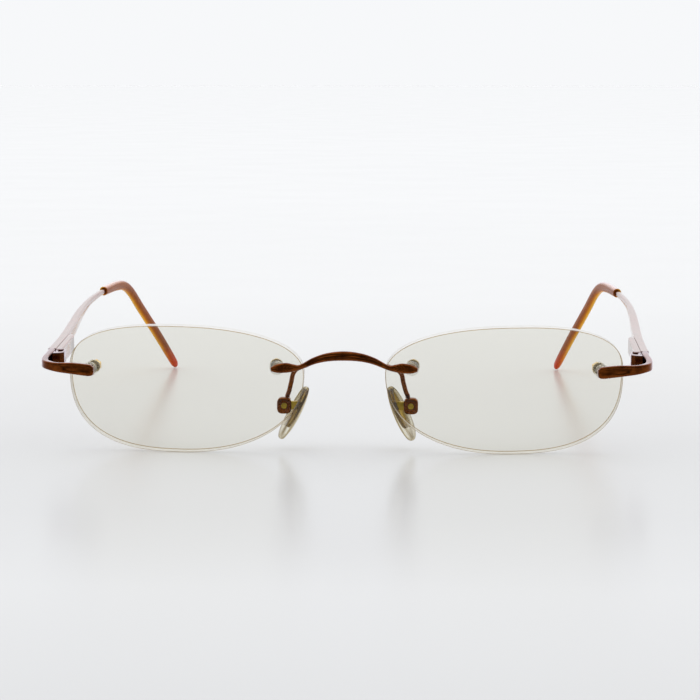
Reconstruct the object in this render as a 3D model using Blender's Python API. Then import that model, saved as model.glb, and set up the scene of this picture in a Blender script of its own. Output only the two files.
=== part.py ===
"""Rimless drill-mounted eyeglasses with a sprung hinge on each side.

The frame stands as it does on a table: on the lower edges of its lenses and on the ends of its tips.
+X runs to the wearer's left, +Y runs back along the temples and +Z is up. Sizes below are
millimetres, and shapes are made in metres. Y values in the shapes are measured from the lens plane,
and FRONT_Y moves the whole frame so that its depth is centred on the origin. Each side piece is
modelled for the wearer's left and mirrored for the right.
"""

import math

import bmesh
import bpy
from mathutils import Matrix, Vector

MM = 0.001
SIDES = (("right", -1), ("left", 1))
FIT = 0.03  # clearance between pieces that touch
FRONT_Y = -67.6  # world Y of the lens plane

# Lenses: boxed size, gap over the nose, curve, thickness and tilts
LENS_WIDTH = 51.0
LENS_GAP = 17.7
LENS_CURVE = 132.0
LENS_THICK = 2.0
LENS_TEMPLE_REACH = 23.9  # from the widest line of the outline to its outer edge
LENS_UPPER_RISE = 10.5
LENS_LOWER_DROP = 17.6
LENS_CENTRE_Z = 13.79
LENS_WRAP = math.radians(4.0)
LENS_TILT = math.radians(8.0)
LENS_POINTS = 56
# Superellipse powers of the outline: (outer, nasal) above and below the widest line
UPPER_POWERS = (2.54, 2.2)
LOWER_POWERS = (2.68, 2.21)

# Drilled mounts: place in the lens's own plane, from the centre of its box
OUTER_HOLE = (20.8, 3.95)
NASAL_HOLE = (-19.85, 5.25)
HOLE_RADIUS = 0.96
STUD_RADIUS = 0.62
STUD_LENGTH = 4.8
STUD_TIP_RADIUS = 0.3
STUD_TIP_HEIGHT = 0.2
BUSH_FLANGE_RADIUS = 1.55
BUSH_FLANGE_THICK = 0.4
WASHER_RADIUS = 1.5
WASHER_THICK = 0.4
PLATE_WASHER_RADIUS = 1.3
PLATE_WASHER_THICK = 0.25
NUT_ACROSS_CORNERS = 2.45
NUT_THICK = 1.2

# Hinge: pin axis, temple rise, and the pieces round the pin
PIN_X = 62.9
PIN_Y = 12.0
PIN_Z = 19.15
TEMPLE_RISE = math.radians(4.0)
BUTT_Y = 1.1  # butt face, behind the pin
EAR_RADIUS = 1.15
EAR_HEIGHT = 3.6
EYE_HEIGHT = 0.9
EYE_RADIUS = 1.05
PIN_RADIUS = 0.38
PIN_HEAD_RADIUS = 0.72
PIN_HEAD_HEIGHT = 0.25
PIN_SLOT_DEPTH = 0.13
PIN_SLOT_WIDTH = 0.18
LEG_OFFSET = 0.85  # middle of the endpiece leg and of the temple, outward of the housing
HOUSING_FRONT = 1.35
HOUSING_BACK = 19.5
HOUSING_INNER = -0.1
HOUSING_OUTER = 1.25
HOUSING_HEIGHT = 3.6
HOUSING_REAR_CHAMFER = 2.4
HOUSING_EDGE = 0.3
BORE_END = 12.5
BORE_RADIUS = 0.5
ROD_RADIUS = 0.24
ROD_END = 8.6
ROD_X = 0.6  # rod and spring axis, outward of the pin
ROD_NECK = 0.4  # half the width of the slider between its eye and its rod
STOP_RADIUS = 0.45
SPRING_RADIUS = 0.37
SPRING_WIRE = 0.09
SPRING_START = 2.1
SPRING_END = 8.0
SPRING_TURNS = 6

# Nose pads
ARM_RADIUS = 0.5
# The two pads are set a little differently, as adjusted pads are: a value for side -1 and one for +1
PAD_SCREW = {-1: (13.3, 6.4, 9.85), 1: (14.15, 6.4, 9.85)}
PAD_CENTRE = {-1: (11.1, 7.6, 7.9), 1: (11.8, 7.6, 7.9)}
PAD_LEAN = {-1: math.radians(28.0), 1: math.radians(24.0)}
PAD_SPLAY = {-1: math.radians(10.0), 1: math.radians(15.5)}
PAD_LENGTH = 12.9
PAD_WIDTH = 7.0
PAD_THICK = 2.1
PAD_BOX = (3.1, 2.2, 3.5)
PAD_BOX_CORNER = 0.85
PAD_RECESS_RADIUS = 0.8
PAD_RECESS_DEPTH = 0.35
PAD_BORE_RADIUS = 0.45
PAD_HEAD_RADIUS = 0.68
PAD_SHANK_RADIUS = 0.38
PAD_SLOT_WIDTH = 0.16
INSERT_LENGTH = 9.0
INSERT_WIDTH = 4.4
INSERT_THICK = 0.5
INSERT_RISE = 1.2  # towards the top of the cushion
LUG_END = 0.62
LUG_SIZE = (1.0, 1.8)  # thickness along the screw, height
LUG_BORE_RADIUS = 0.44
THROUGH = 3.0  # half the length of a cutter that passes right through a small piece


def clear_scene():
    for old in list(bpy.data.objects):
        bpy.data.objects.remove(old, do_unlink=True)


def material(name, colour, metallic=0.0, roughness=0.4, alpha=1.0):
    made = bpy.data.materials.new(name)
    made.use_nodes = True
    shader = made.node_tree.nodes["Principled BSDF"]
    shader.inputs["Base Color"].default_value = (*colour, 1.0)
    shader.inputs["Metallic"].default_value = metallic
    shader.inputs["Roughness"].default_value = roughness
    shader.inputs["Alpha"].default_value = alpha
    return made


def mirrored(matrix):
    """The same placement on the other side of the X = 0 plane."""
    flip = Matrix.Diagonal((-1.0, 1.0, 1.0, 1.0))
    return flip @ matrix @ flip


def add(name, mesh, look, side=1, matrix=None, parent=None, sharp=35.0):
    """Makes an object from a bmesh in millimetres. Its matrix is a placement for the left side."""
    if side < 0:
        bmesh.ops.scale(mesh, vec=(-1.0, 1.0, 1.0), verts=mesh.verts)
        bmesh.ops.reverse_faces(mesh, faces=mesh.faces)
    bmesh.ops.scale(mesh, vec=(MM, MM, MM), verts=mesh.verts)
    data = bpy.data.meshes.new(name)
    mesh.to_mesh(data)
    mesh.free()
    data.shade_smooth()
    data.set_sharp_from_angle(angle=math.radians(sharp))
    data.materials.append(look)
    made = bpy.data.objects.new(name, data)
    bpy.context.scene.collection.objects.link(made)
    place = matrix.copy() if matrix else Matrix.Translation((0.0, FRONT_Y, 0.0))
    if side < 0:
        place = mirrored(place)
    place.translation = place.translation * MM
    if parent:
        made.parent = parent
        made.matrix_parent_inverse = parent.matrix_world.inverted()
    made.matrix_world = place
    return made


def empty(name, matrix, side):
    """An axis that moving pieces are parented to."""
    made = bpy.data.objects.new(name, None)
    bpy.context.scene.collection.objects.link(made)
    place = matrix.copy() if side > 0 else mirrored(matrix)
    place.translation = place.translation * MM
    made.matrix_world = place
    bpy.context.view_layer.update()
    return made


def cut(target, cutters):
    """Cuts closed bmeshes, given in the target's own space, from the target."""
    for index, (mesh, side) in enumerate(cutters):
        tool = add(f"{target.name}_cutter{index}", mesh, target.data.materials[0], side, Matrix())
        tool.matrix_world = target.matrix_world
        tool.hide_render = True
        tool.display_type = "WIRE"
        step = target.modifiers.new(f"cut{index}", "BOOLEAN")
        step.operation = "DIFFERENCE"
        step.solver = "EXACT"
        step.object = tool


# ---- shapes -------------------------------------------------------------------------------------------


def loft(rings):
    """A closed skin through rings of points. A ring of one point closes an end, and others are filled."""
    mesh = bmesh.new()
    rows = [[mesh.verts.new(point) for point in ring] for ring in rings]
    for row, following in zip(rows, rows[1:]):
        size = max(len(row), len(following))
        for i in range(size):
            j = (i + 1) % size
            near = [row[i % len(row)], row[j % len(row)]]
            far = [following[j % len(following)], following[i % len(following)]]
            mesh.faces.new(list(dict.fromkeys(near + far)))
    for row in (rows[0], rows[-1]):
        if len(row) > 1:
            mesh.faces.new(row)
    bmesh.ops.recalc_face_normals(mesh, faces=mesh.faces)
    return mesh


def circle(radius, y, count, centre=(0.0, 0.0)):
    """Points of a circle square to the local Y axis."""
    angles = [2 * math.pi * i / count for i in range(count)]
    return [(centre[0] + radius * math.cos(a), y, centre[1] + radius * math.sin(a)) for a in angles]


def drill_shape(radius, start, end, segments=16, centre=(0.0, 0.0)):
    """A plain cylinder along the local Y axis."""
    return turned(((0, start), (radius, start), (radius, end), (0, end)), segments, centre)


def turned(profile, segments=20, centre=(0.0, 0.0)):
    """A solid of revolution about local Y, from (radius, y) points that start and end on the axis."""
    rings = []
    for radius, y in profile:
        count = segments if radius > 0 else 1
        rings.append(circle(radius, y, count, centre))
    return loft(rings)


def ring_turned(inner, outer, start, end, segments=20, centre=(0.0, 0.0), outer_sides=None):
    """A washer or tube round local Y. outer_sides gives its outside fewer corners, as on a nut."""
    mesh = bmesh.new()
    rows = []
    sides = outer_sides or segments
    inside = ((inner, start, segments), (inner, end, segments))
    outside = ((outer, start, sides), (outer, end, sides))
    for radius, y, corners in (inside[0], *outside, inside[1]):
        row = []
        for i in range(segments):
            angle = 2 * math.pi * i / segments
            reach = radius
            if corners < segments:
                half = math.pi / corners
                reach = radius * math.cos(half) / math.cos((angle + half) % (2 * half) - half)
            x = centre[0] + reach * math.cos(angle)
            z = centre[1] + reach * math.sin(angle)
            row.append(mesh.verts.new((x, y, z)))
        rows.append(row)
    for k in range(4):
        row, following = rows[k], rows[(k + 1) % 4]
        for i in range(segments):
            j = (i + 1) % segments
            mesh.faces.new([row[i], row[j], following[j], following[i]])
    bmesh.ops.recalc_face_normals(mesh, faces=mesh.faces)
    return mesh


def rounded_section(width, height, power=2.6, count=16):
    """A rounded rectangle as (across, up) points."""
    points = []
    for i in range(count):
        angle = 2 * math.pi * (i + 0.5) / count
        c, s = math.cos(angle), math.sin(angle)
        across = 0.5 * width * math.copysign(abs(c) ** (2 / power), c)
        up = 0.5 * height * math.copysign(abs(s) ** (2 / power), s)
        points.append((across, up))
    return points


def smooth_rows(rows, steps):
    """Rows of numbers along a smooth curve through the given rows, with steps pieces between each two."""
    made = []
    last = len(rows) - 1
    for i in range(last):
        before, start = rows[max(i - 1, 0)], rows[i]
        end, after = rows[i + 1], rows[min(i + 2, last)]
        for k in range(steps):
            t = k / steps
            row = []
            for p0, p1, p2, p3 in zip(before, start, end, after):
                slope1 = (p2 - p0) / (2 if i > 0 else 1)
                slope2 = (p3 - p1) / (2 if i < last - 1 else 1)
                a = 2 * p1 - 2 * p2 + slope1 + slope2
                b = 3 * p2 - 3 * p1 - 2 * slope1 - slope2
                row.append(((a * t + b) * t + slope1) * t + p1)
            made.append(row)
    made.append(list(rows[-1]))
    return made


def bar_rings(rows, power=2.6, count=16):
    """Sections across a route of (x, y, z, thickness, height) rows, with the height up."""
    centres = [Vector(row[:3]) for row in rows]
    rings = []
    for i, row in enumerate(rows):
        ahead = centres[min(i + 1, len(rows) - 1)] - centres[max(i - 1, 0)]
        across = ahead.cross(Vector((0.0, 0.0, 1.0))).normalized()
        rise = across.cross(ahead).normalized()
        section = rounded_section(row[3], row[4], power, count)
        rings.append([centres[i] + across * a + rise * b for a, b in section])
    return rings


def block(low, high):
    """A box between two corners."""
    mesh = bmesh.new()
    bmesh.ops.create_cube(mesh, size=1.0)
    size = [b - a for a, b in zip(low, high)]
    middle = [(a + b) / 2 for a, b in zip(low, high)]
    bmesh.ops.scale(mesh, vec=size, verts=mesh.verts)
    bmesh.ops.translate(mesh, vec=middle, verts=mesh.verts)
    return mesh


def prism(outline, low, high):
    """An outline of (x, y) points raised from z = low to z = high."""
    return loft([[(x, y, low) for x, y in outline], [(x, y, high) for x, y in outline]])


def upright(mesh):
    """Turns a shape made round local Y so that it stands round local Z."""
    quarter = Matrix.Rotation(math.pi / 2, 3, "X")
    bmesh.ops.rotate(mesh, cent=(0, 0, 0), matrix=quarter, verts=mesh.verts)
    return mesh


# ---- placements, all for the left side ----------------------------------------------------------------


def lens_place():
    """Lens axes: x out to the temple, y back through the lens, z up, from its front face's centre."""
    out = Matrix.Translation((LENS_GAP / 2 + LENS_WIDTH / 2, 0.0, 0.0))
    tilt = Matrix.Rotation(LENS_TILT, 4, "X")
    wrap = Matrix.Rotation(LENS_WRAP, 4, "Z")
    return Matrix.Translation((0.0, FRONT_Y, LENS_CENTRE_Z)) @ tilt @ out @ wrap


def lens_sag(u, v):
    return LENS_CURVE - math.sqrt(LENS_CURVE**2 - u * u - v * v)


def hole_place(hole):
    """Axes of a drilled mount: y goes back square to the lens surface, from its front face."""
    u, v = hole
    sag = lens_sag(u, v)
    back = Vector((-u, LENS_CURVE - sag, -v)).normalized()
    side = back.cross(Vector((0.0, 0.0, 1.0))).normalized()
    up = side.cross(back)
    local = Matrix((side, back, up)).transposed().to_4x4()
    local.translation = Vector((u, sag, v))
    return lens_place() @ local


def pin_place():
    """Hinge axes: z along the pin, y back along the temple."""
    pin = Matrix.Translation((PIN_X, FRONT_Y + PIN_Y, PIN_Z))
    return pin @ Matrix.Rotation(TEMPLE_RISE, 4, "X")


def pad_place(side):
    """Pad axes: x into the nose pad from the nose, y back along its width, z up its length."""
    lean = Matrix.Rotation(-PAD_LEAN[side], 4, "Y")
    splay = Matrix.Rotation(-PAD_SPLAY[side], 4, "Z")
    return Matrix.Translation(from_front(*PAD_CENTRE[side])) @ lean @ splay


def screw_place(side):
    """Pad screw axes: y along the screw, parallel to the frame's own axes."""
    return Matrix.Translation(from_front(*PAD_SCREW[side]))


def lug_shape(side):
    """The lug about the pad screw, ended along the middle plane of the insert plate."""
    pad = pad_place(side)
    normal = pad.to_3x3() @ Vector((1.0, 0.0, 0.0))
    clear = (screw_place(side).translation - pad.translation).dot(normal)
    half_thick, half_high = LUG_SIZE[0] / 2, LUG_SIZE[1] / 2
    inner = []
    outer = []
    for a, b in ((-1, -1), (1, -1), (1, 1), (-1, 1)):
        y, z = a * half_thick, b * half_high
        inner.append(Vector((-(clear + normal.y * y + normal.z * z) / normal.x, y, z)))
        outer.append(Vector((LUG_END, y, z)))
    return loft([inner, outer])


def from_front(x, y, z):
    return Vector((x, y + FRONT_Y, z))


def frame_route(matrix, *points):
    """Points of a placement as points measured from the lens plane."""
    return [matrix @ Vector(point) - Vector((0.0, FRONT_Y, 0.0)) for point in points]


# ---- pieces -------------------------------------------------------------------------------------------


def lens_outline(count):
    """The lens's outline as (u, v) points from its box's centre: four superellipse quarters."""
    nasal_reach = LENS_WIDTH - LENS_TEMPLE_REACH
    shift_u = LENS_TEMPLE_REACH - LENS_WIDTH / 2
    shift_v = (LENS_UPPER_RISE - LENS_LOWER_DROP) / 2
    points = []
    for i in range(count):
        angle = 2 * math.pi * (i + 0.5) / count
        c, s = math.cos(angle), math.sin(angle)
        powers = UPPER_POWERS if s > 0 else LOWER_POWERS
        power = powers[0] if c > 0 else powers[1]
        reach = LENS_TEMPLE_REACH if c > 0 else nasal_reach
        rise = LENS_UPPER_RISE if s > 0 else LENS_LOWER_DROP
        u = reach * math.copysign(abs(c) ** (2 / power), c) - shift_u
        v = rise * math.copysign(abs(s) ** (2 / power), s) - shift_v
        points.append((u, v))
    return points


def add_lens(label, side, looks):
    outline = lens_outline(LENS_POINTS)
    shares = (0.0, 0.3, 0.65, 1.0)
    rings = []
    for depth, order in ((0.0, shares), (LENS_THICK, shares[::-1])):
        for share in order:
            inner = [(u * share, v * share) for u, v in outline]
            ring = [(u, depth + lens_sag(u, v), v) for u, v in inner]
            rings.append(ring[:1] if share == 0 else ring)
    lens = add(f"{label}_lens", loft(rings), looks["lens"], side, lens_place(), sharp=30.0)
    for index, hole in enumerate((OUTER_HOLE, NASAL_HOLE)):
        place = lens_place().inverted() @ hole_place(hole)
        drill = drill_shape(HOLE_RADIUS, -LENS_THICK, 2.5 * LENS_THICK, 24)
        bmesh.ops.transform(drill, matrix=place, verts=drill.verts)
        cut(lens, [(drill, side)])
        lens.modifiers[-1].name = f"drill{index}"


def add_mount(label, side, hole, looks):
    """Stud, flanged bush, clear washer, plate washer and hexagon nut of one drilled mount."""
    place = hole_place(hole)
    flange = -FIT - BUSH_FLANGE_THICK
    bush_end = LENS_THICK - 2 * FIT
    bore = STUD_RADIUS + FIT
    barrel = HOLE_RADIUS - FIT
    back = LENS_THICK + 2 * FIT
    steps = 16

    shank_end = flange + STUD_LENGTH
    tip = shank_end + STUD_TIP_HEIGHT
    profile = (
        (0, flange),
        (STUD_RADIUS, flange),
        (STUD_RADIUS, shank_end),
        (STUD_TIP_RADIUS, tip),
        (0, tip),
    )
    add(f"{label}_stud", turned(profile, steps), looks["brass"], side, place)

    profile = (
        (bore, flange),
        (BUSH_FLANGE_RADIUS, flange),
        (BUSH_FLANGE_RADIUS, -FIT),
        (barrel, -FIT),
        (barrel, bush_end),
        (bore, bush_end),
    )
    rings = [circle(radius, y, steps) for radius, y in profile]
    add(f"{label}_bush", closed_tube(rings), looks["clear"], side, place)

    washer_end = back + WASHER_THICK
    washer = ring_turned(bore, WASHER_RADIUS, back, washer_end, steps)
    add(f"{label}_washer", washer, looks["clear"], side, place)
    plate_start = washer_end + FIT
    plate_end = plate_start + PLATE_WASHER_THICK
    plate = ring_turned(bore, PLATE_WASHER_RADIUS, plate_start, plate_end, steps)
    add(f"{label}_plate", plate, looks["brass"], side, place)
    nut_start = plate_end + FIT
    nut = ring_turned(bore, NUT_ACROSS_CORNERS / 2, nut_start, nut_start + NUT_THICK, 24, outer_sides=6)
    add(f"{label}_nut", nut, looks["brass"], side, place)


def closed_tube(rings):
    """A skin through rings whose last joins the first."""
    mesh = bmesh.new()
    rows = [[mesh.verts.new(point) for point in ring] for ring in rings]
    for k, row in enumerate(rows):
        following = rows[(k + 1) % len(rows)]
        for i in range(len(row)):
            j = (i + 1) % len(row)
            mesh.faces.new([row[i], row[j], following[j], following[i]])
    bmesh.ops.recalc_face_normals(mesh, faces=mesh.faces)
    return mesh


def add_bridge(looks):
    """A leaf-shaped lug on each lens, necked at the lens edge, and the arch between them."""
    lug_points = ((1.25, -1.05, -0.12), (0.0, -1.05, 0.0), (-1.9, -1.05, 0.16))
    tip, hole, mid = frame_route(hole_place(NASAL_HOLE), *lug_points)
    half = [
        (*tip, 0.8, 0.9),
        (*hole, 1.1, 1.85),
        (*mid, 1.15, 2.15),
        (10.9, mid.y - 0.1, 19.1, 1.1, 1.65),
        (9.3, mid.y - 0.3, 19.3, 1.05, 1.1),
        (6.3, mid.y - 0.9, 20.75, 1.15, 1.5),
        (3.4, mid.y - 1.4, 21.6, 1.25, 1.85),
        (0.0, mid.y - 1.6, 21.9, 1.3, 2.05),
    ]
    other = [(-row[0], *row[1:]) for row in half[-2::-1]]
    route = smooth_rows(half + other, 2)
    add("bridge", loft(bar_rings(route, power=2.4, count=12)), looks["copper"])


def add_endpiece(label, side, looks):
    """The bar over the lens, its rounded corner and the leg back to the hinge."""
    bar_points = ((-1.25, -1.24, -0.1), (0.0, -1.24, 0.0), (3.6, -1.24, 0.15))
    inner, hole, mid = frame_route(hole_place(OUTER_HOLE), *bar_points)
    leg_x = PIN_X + HOUSING_OUTER + FIT + LEG_OFFSET
    butt_y = PIN_Y + BUTT_Y - FIT
    rows = [
        (*inner, 1.1, 1.7),
        (inner.x + 0.5, inner.y + 0.1, inner.z + 0.03, 1.45, 2.35),
        (*hole, 1.5, 2.6),
        (*mid, 1.5, 2.5),
        (62.3, 2.9, 18.45, 1.5, 2.05),
        (64.8, 4.3, 18.85, 1.5, 1.8),
        (leg_x + 0.35, 7.0, 19.15, 1.5, 2.2),
        (leg_x + 0.05, 10.2, 19.25, 1.6, 3.1),
        (leg_x, butt_y, 19.35, 1.7, 3.7),
    ]
    route = smooth_rows(rows, 2)
    rings = bar_rings(route, power=4.5, count=12)
    rings[-1] = [Vector((point.x, butt_y, point.z)) for point in rings[-1]]
    add(f"{label}_endpiece", loft(rings), looks["copper"], side)


def ear_outline():
    """The hinge leaf seen from above: a block against the endpiece leg with a round end about the pin."""
    outline = [(HOUSING_OUTER, -3.2), (HOUSING_OUTER, 0.55)]
    for i in range(9):
        angle = math.radians(35 + 145 * i / 8)
        outline.append((EAR_RADIUS * math.cos(angle), EAR_RADIUS * math.sin(angle)))
    outline += [(-EAR_RADIUS, -2.3), (-0.3, -3.2)]
    return outline


def add_hinge(label, side, looks, fold):
    """The leaf on the endpiece, the hinge screw, and the sprung slider in its housing on the temple."""
    place = pin_place()
    half_ear = EAR_HEIGHT / 2
    half_eye = EYE_HEIGHT / 2

    shape = prism(ear_outline(), -half_ear, half_ear)
    leaf = add(f"{label}_hinge_leaf", shape, looks["copper"], side, place)
    gap = half_eye + 0.05
    slot = block((-2.5, -EAR_RADIUS - 0.15, -gap), (HOUSING_OUTER + 0.5, 2.5, gap))
    hole = PIN_RADIUS + FIT
    drill = upright(drill_shape(hole, -THROUGH, THROUGH))
    cut(leaf, [(slot, side), (drill, side)])

    head = half_ear + FIT
    top = head + PIN_HEAD_HEIGHT
    profile = (
        (0, top),
        (PIN_HEAD_RADIUS - 0.17, top),
        (PIN_HEAD_RADIUS, top - 0.1),
        (PIN_HEAD_RADIUS, head),
        (PIN_RADIUS, head),
        (PIN_RADIUS, -half_ear),
        (0, -half_ear),
    )
    screw = add(f"{label}_hinge_screw", upright(turned(profile, 16)), looks["brass"], side, place, fold)
    half_slot = PIN_SLOT_WIDTH / 2
    slot = block((-1.0, -half_slot, top - PIN_SLOT_DEPTH), (1.0, half_slot, top + 0.6))
    cut(screw, [(slot, side)])

    add_slider(label, side, looks, fold, place)
    add_spring(label, side, looks, fold, place)

    centre = (ROD_X, 0.0)
    stop = ring_turned(ROD_RADIUS + FIT, STOP_RADIUS, SPRING_END + 0.05, ROD_END, 16, centre)
    add(f"{label}_spring_stop", stop, looks["brass"], side, place, fold)
    hole = ROD_RADIUS + 2 * FIT
    collar = ring_turned(hole, BORE_RADIUS - FIT, HOUSING_FRONT + 0.1, SPRING_START - 0.12, 16, centre)
    add(f"{label}_housing_collar", collar, looks["brass"], side, place, fold)
    add_housing(label, side, looks, fold, place)


def add_slider(label, side, looks, fold, place):
    """Hinge eye and the rod that draws out of the spring housing."""
    half_eye = EYE_HEIGHT / 2
    neck = HOUSING_FRONT - 0.1
    outline = []
    for i in range(13):
        angle = math.radians(70 + 255 * i / 12)
        outline.append((EYE_RADIUS * math.cos(angle), EYE_RADIUS * math.sin(angle)))
    outline += [(ROD_X + ROD_NECK, 0.3), (ROD_X + ROD_NECK, neck), (ROD_X - ROD_NECK, neck)]
    eye = prism(outline, -half_eye, half_eye)
    slider = add(f"{label}_hinge_slider", eye, looks["steel"], side, place, fold)
    rod = drill_shape(ROD_RADIUS, neck - 0.3, ROD_END, 12, (ROD_X, 0.0))
    tool = add(f"{label}_rod_shape", rod, looks["steel"], side, place)
    tool.hide_render = True
    tool.display_type = "WIRE"
    join = slider.modifiers.new("rod", "BOOLEAN")
    join.operation = "UNION"
    join.solver = "EXACT"
    join.object = tool
    cut(slider, [(upright(drill_shape(PIN_RADIUS + FIT, -THROUGH, THROUGH)), side)])


def add_spring(label, side, looks, fold, place):
    """A coil round the rod, between the housing's collar and the rod's stop."""
    steps = 8 * SPRING_TURNS
    rings = []
    for i in range(steps + 1):
        t = i / steps
        angle = 2 * math.pi * SPRING_TURNS * t
        out = Vector((math.cos(angle), 0.0, math.sin(angle)))
        along = Vector((0.0, 1.0, 0.0))
        travel = SPRING_END - SPRING_START - 2 * SPRING_WIRE
        rise = SPRING_START + SPRING_WIRE + travel * t
        middle = Vector((ROD_X, rise, 0.0)) + out * SPRING_RADIUS
        corners = [(math.pi / 4) * (2 * k + 1) for k in range(4)]
        section = [out * math.cos(a) + along * math.sin(a) for a in corners]
        rings.append([middle + point * SPRING_WIRE for point in section])
    add(f"{label}_spring", loft(rings), looks["steel"], side, place, fold)


def add_housing(label, side, looks, fold, place):
    """The spring box on the temple's inner face, chamfered at its rear, bored blind from the front."""
    inner, outer = HOUSING_INNER, HOUSING_OUTER
    outline = [
        (outer, HOUSING_FRONT),
        (outer, HOUSING_BACK),
        (outer - HOUSING_EDGE, HOUSING_BACK),
        (inner, HOUSING_BACK - HOUSING_REAR_CHAMFER),
        (inner, HOUSING_FRONT),
    ]
    mesh = prism(outline, -HOUSING_HEIGHT / 2, HOUSING_HEIGHT / 2)
    inner_edges = [e for e in mesh.edges if all(v.co.x < inner + 0.01 for v in e.verts)]
    long_edges = [e for e in inner_edges if e.calc_length() > HOUSING_HEIGHT + 1.0]
    bmesh.ops.bevel(mesh, geom=long_edges, offset=HOUSING_EDGE, segments=2, affect="EDGES")
    housing = add(f"{label}_spring_housing", mesh, looks["copper"], side, place, fold)
    cut(housing, [(drill_shape(BORE_RADIUS, 0.0, BORE_END, 16, (ROD_X, 0.0)), side)])


def temple_rows():
    """Temple bar route measured from the lens plane: x, y, z, thickness, height."""
    bar_x = PIN_X + HOUSING_OUTER + FIT + LEG_OFFSET
    return [
        (bar_x, PIN_Y + BUTT_Y + FIT, 19.35, 1.7, 3.7),
        (bar_x + 0.05, 22.0, 19.95, 1.75, 3.55),
        (bar_x + 0.17, 31.0, 20.75, 1.95, 3.2),
        (bar_x + 0.75, 44.0, 22.05, 2.0, 2.5),
        (bar_x + 1.45, 60.0, 23.8, 1.8, 1.9),
        (bar_x + 1.5, 74.0, 25.1, 1.5, 1.55),
        (bar_x + 0.7, 86.0, 25.95, 1.25, 1.3),
        (bar_x - 0.15, 93.0, 26.3, 1.05, 1.1),
        (bar_x - 1.23, 100.0, 26.5, 0.9, 0.95),
    ]


def tip_rows():
    """Temple tip route measured from the lens plane: x, y, z, thickness, height."""
    bar_x = PIN_X + HOUSING_OUTER + FIT + LEG_OFFSET
    return [
        (bar_x + 0.3, 90.0, 26.18, 2.1, 2.25),
        (bar_x - 0.15, 93.0, 26.3, 2.15, 2.35),
        (bar_x - 1.23, 100.0, 26.5, 2.05, 2.5),
        (bar_x - 2.4, 106.0, 26.1, 2.0, 2.6),
        (bar_x - 3.6, 111.0, 24.0, 1.9, 2.65),
        (bar_x - 5.4, 117.5, 18.9, 1.85, 2.7),
        (bar_x - 8.8, 128.0, 10.0, 1.85, 2.7),
        (bar_x - 11.6, 136.4, 2.35, 1.75, 2.4),
        (bar_x - 12.2, 138.0, 0.72, 1.2, 1.5),
    ]


def to_pin_space(rings):
    """Rings measured from the lens plane, as points of the hinge's own axes."""
    back = pin_place().inverted()
    return [[back @ (Vector(point) + Vector((0.0, FRONT_Y, 0.0))) for point in ring] for ring in rings]


def add_temple(label, side, looks, fold):
    """The metal temple, cut square where it butts on the endpiece, and the sleeve over its end."""
    route = smooth_rows(temple_rows(), 2)
    rings = bar_rings(route, power=2.8, count=12)
    front = PIN_Y + BUTT_Y + FIT
    rings[0] = [Vector((point.x, front, point.z)) for point in rings[0]]
    add(f"{label}_temple", loft(to_pin_space(rings)), looks["copper"], side, pin_place(), fold)

    outer = bar_rings(smooth_rows(tip_rows(), 2), power=2.2, count=12)
    core = smooth_rows(temple_rows(), 2)
    inside = [row for row in core if row[1] > 91.0]
    mouth = Vector(tip_rows()[0][:3])
    first = [*mouth, inside[0][3] + 0.05, inside[0][4] + 0.1]
    last = inside[-1]
    past = [2 * a - b for a, b in zip(last[:3], inside[-2][:3])] + [last[3], last[4]]
    room = 10 * FIT
    bore_rows = [[*row[:3], row[3] + room, row[4] + room] for row in [first, *inside, past]]
    bore = bar_rings(bore_rows, power=2.2, count=12)
    rings = bore[::-1] + outer
    tip = loft(to_pin_space(rings))
    add(f"{label}_temple_tip", tip, looks["tortoise"], side, pin_place(), fold, sharp=50.0)


def add_pad_arm(label, side, looks):
    """A wire from behind the bridge, round the lens's nasal edge and down to the pad box."""
    x, y, z = PAD_SCREW[side]
    top = z + PAD_BOX[2] / 2 + FIT
    shift = x - (PAD_SCREW[1][0] + PAD_SCREW[-1][0]) / 2
    rows = [
        (7.6, -0.75, 19.95),
        (7.6, 0.8, 19.8),
        (7.7, 2.7, 19.45),
        (8.5, 3.85, 18.9),
        (10.3 + 0.5 * shift, 4.25, 18.3),
        (11.6 + shift, 4.4, 17.2),
        (12.1 + shift, 4.7, 15.2),
        (12.6 + shift, 5.6, 13.2),
        (x - 0.7, y, top + 0.4),
        (x - 0.7, y, top),
    ]
    route = smooth_rows(rows, 2)
    rings = wire_rings([Vector(row) for row in route], ARM_RADIUS, 8)
    rings[-1] = [Vector((point.x, point.y, top)) for point in rings[-1]]
    add(f"{label}_pad_arm", loft(rings), looks["copper"], side)


def wire_rings(centres, radius, count):
    """Round sections carried along a route without twist."""
    ahead = (centres[1] - centres[0]).normalized()
    out = ahead.orthogonal().normalized()
    rings = []
    for i, centre in enumerate(centres):
        ahead = (centres[min(i + 1, len(centres) - 1)] - centres[max(i - 1, 0)]).normalized()
        out = (out - ahead * out.dot(ahead)).normalized()
        side = ahead.cross(out)
        angles = [2 * math.pi * k / count for k in range(count)]
        rings.append([centre + (out * math.cos(a) + side * math.sin(a)) * radius for a in angles])
    return rings


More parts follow.
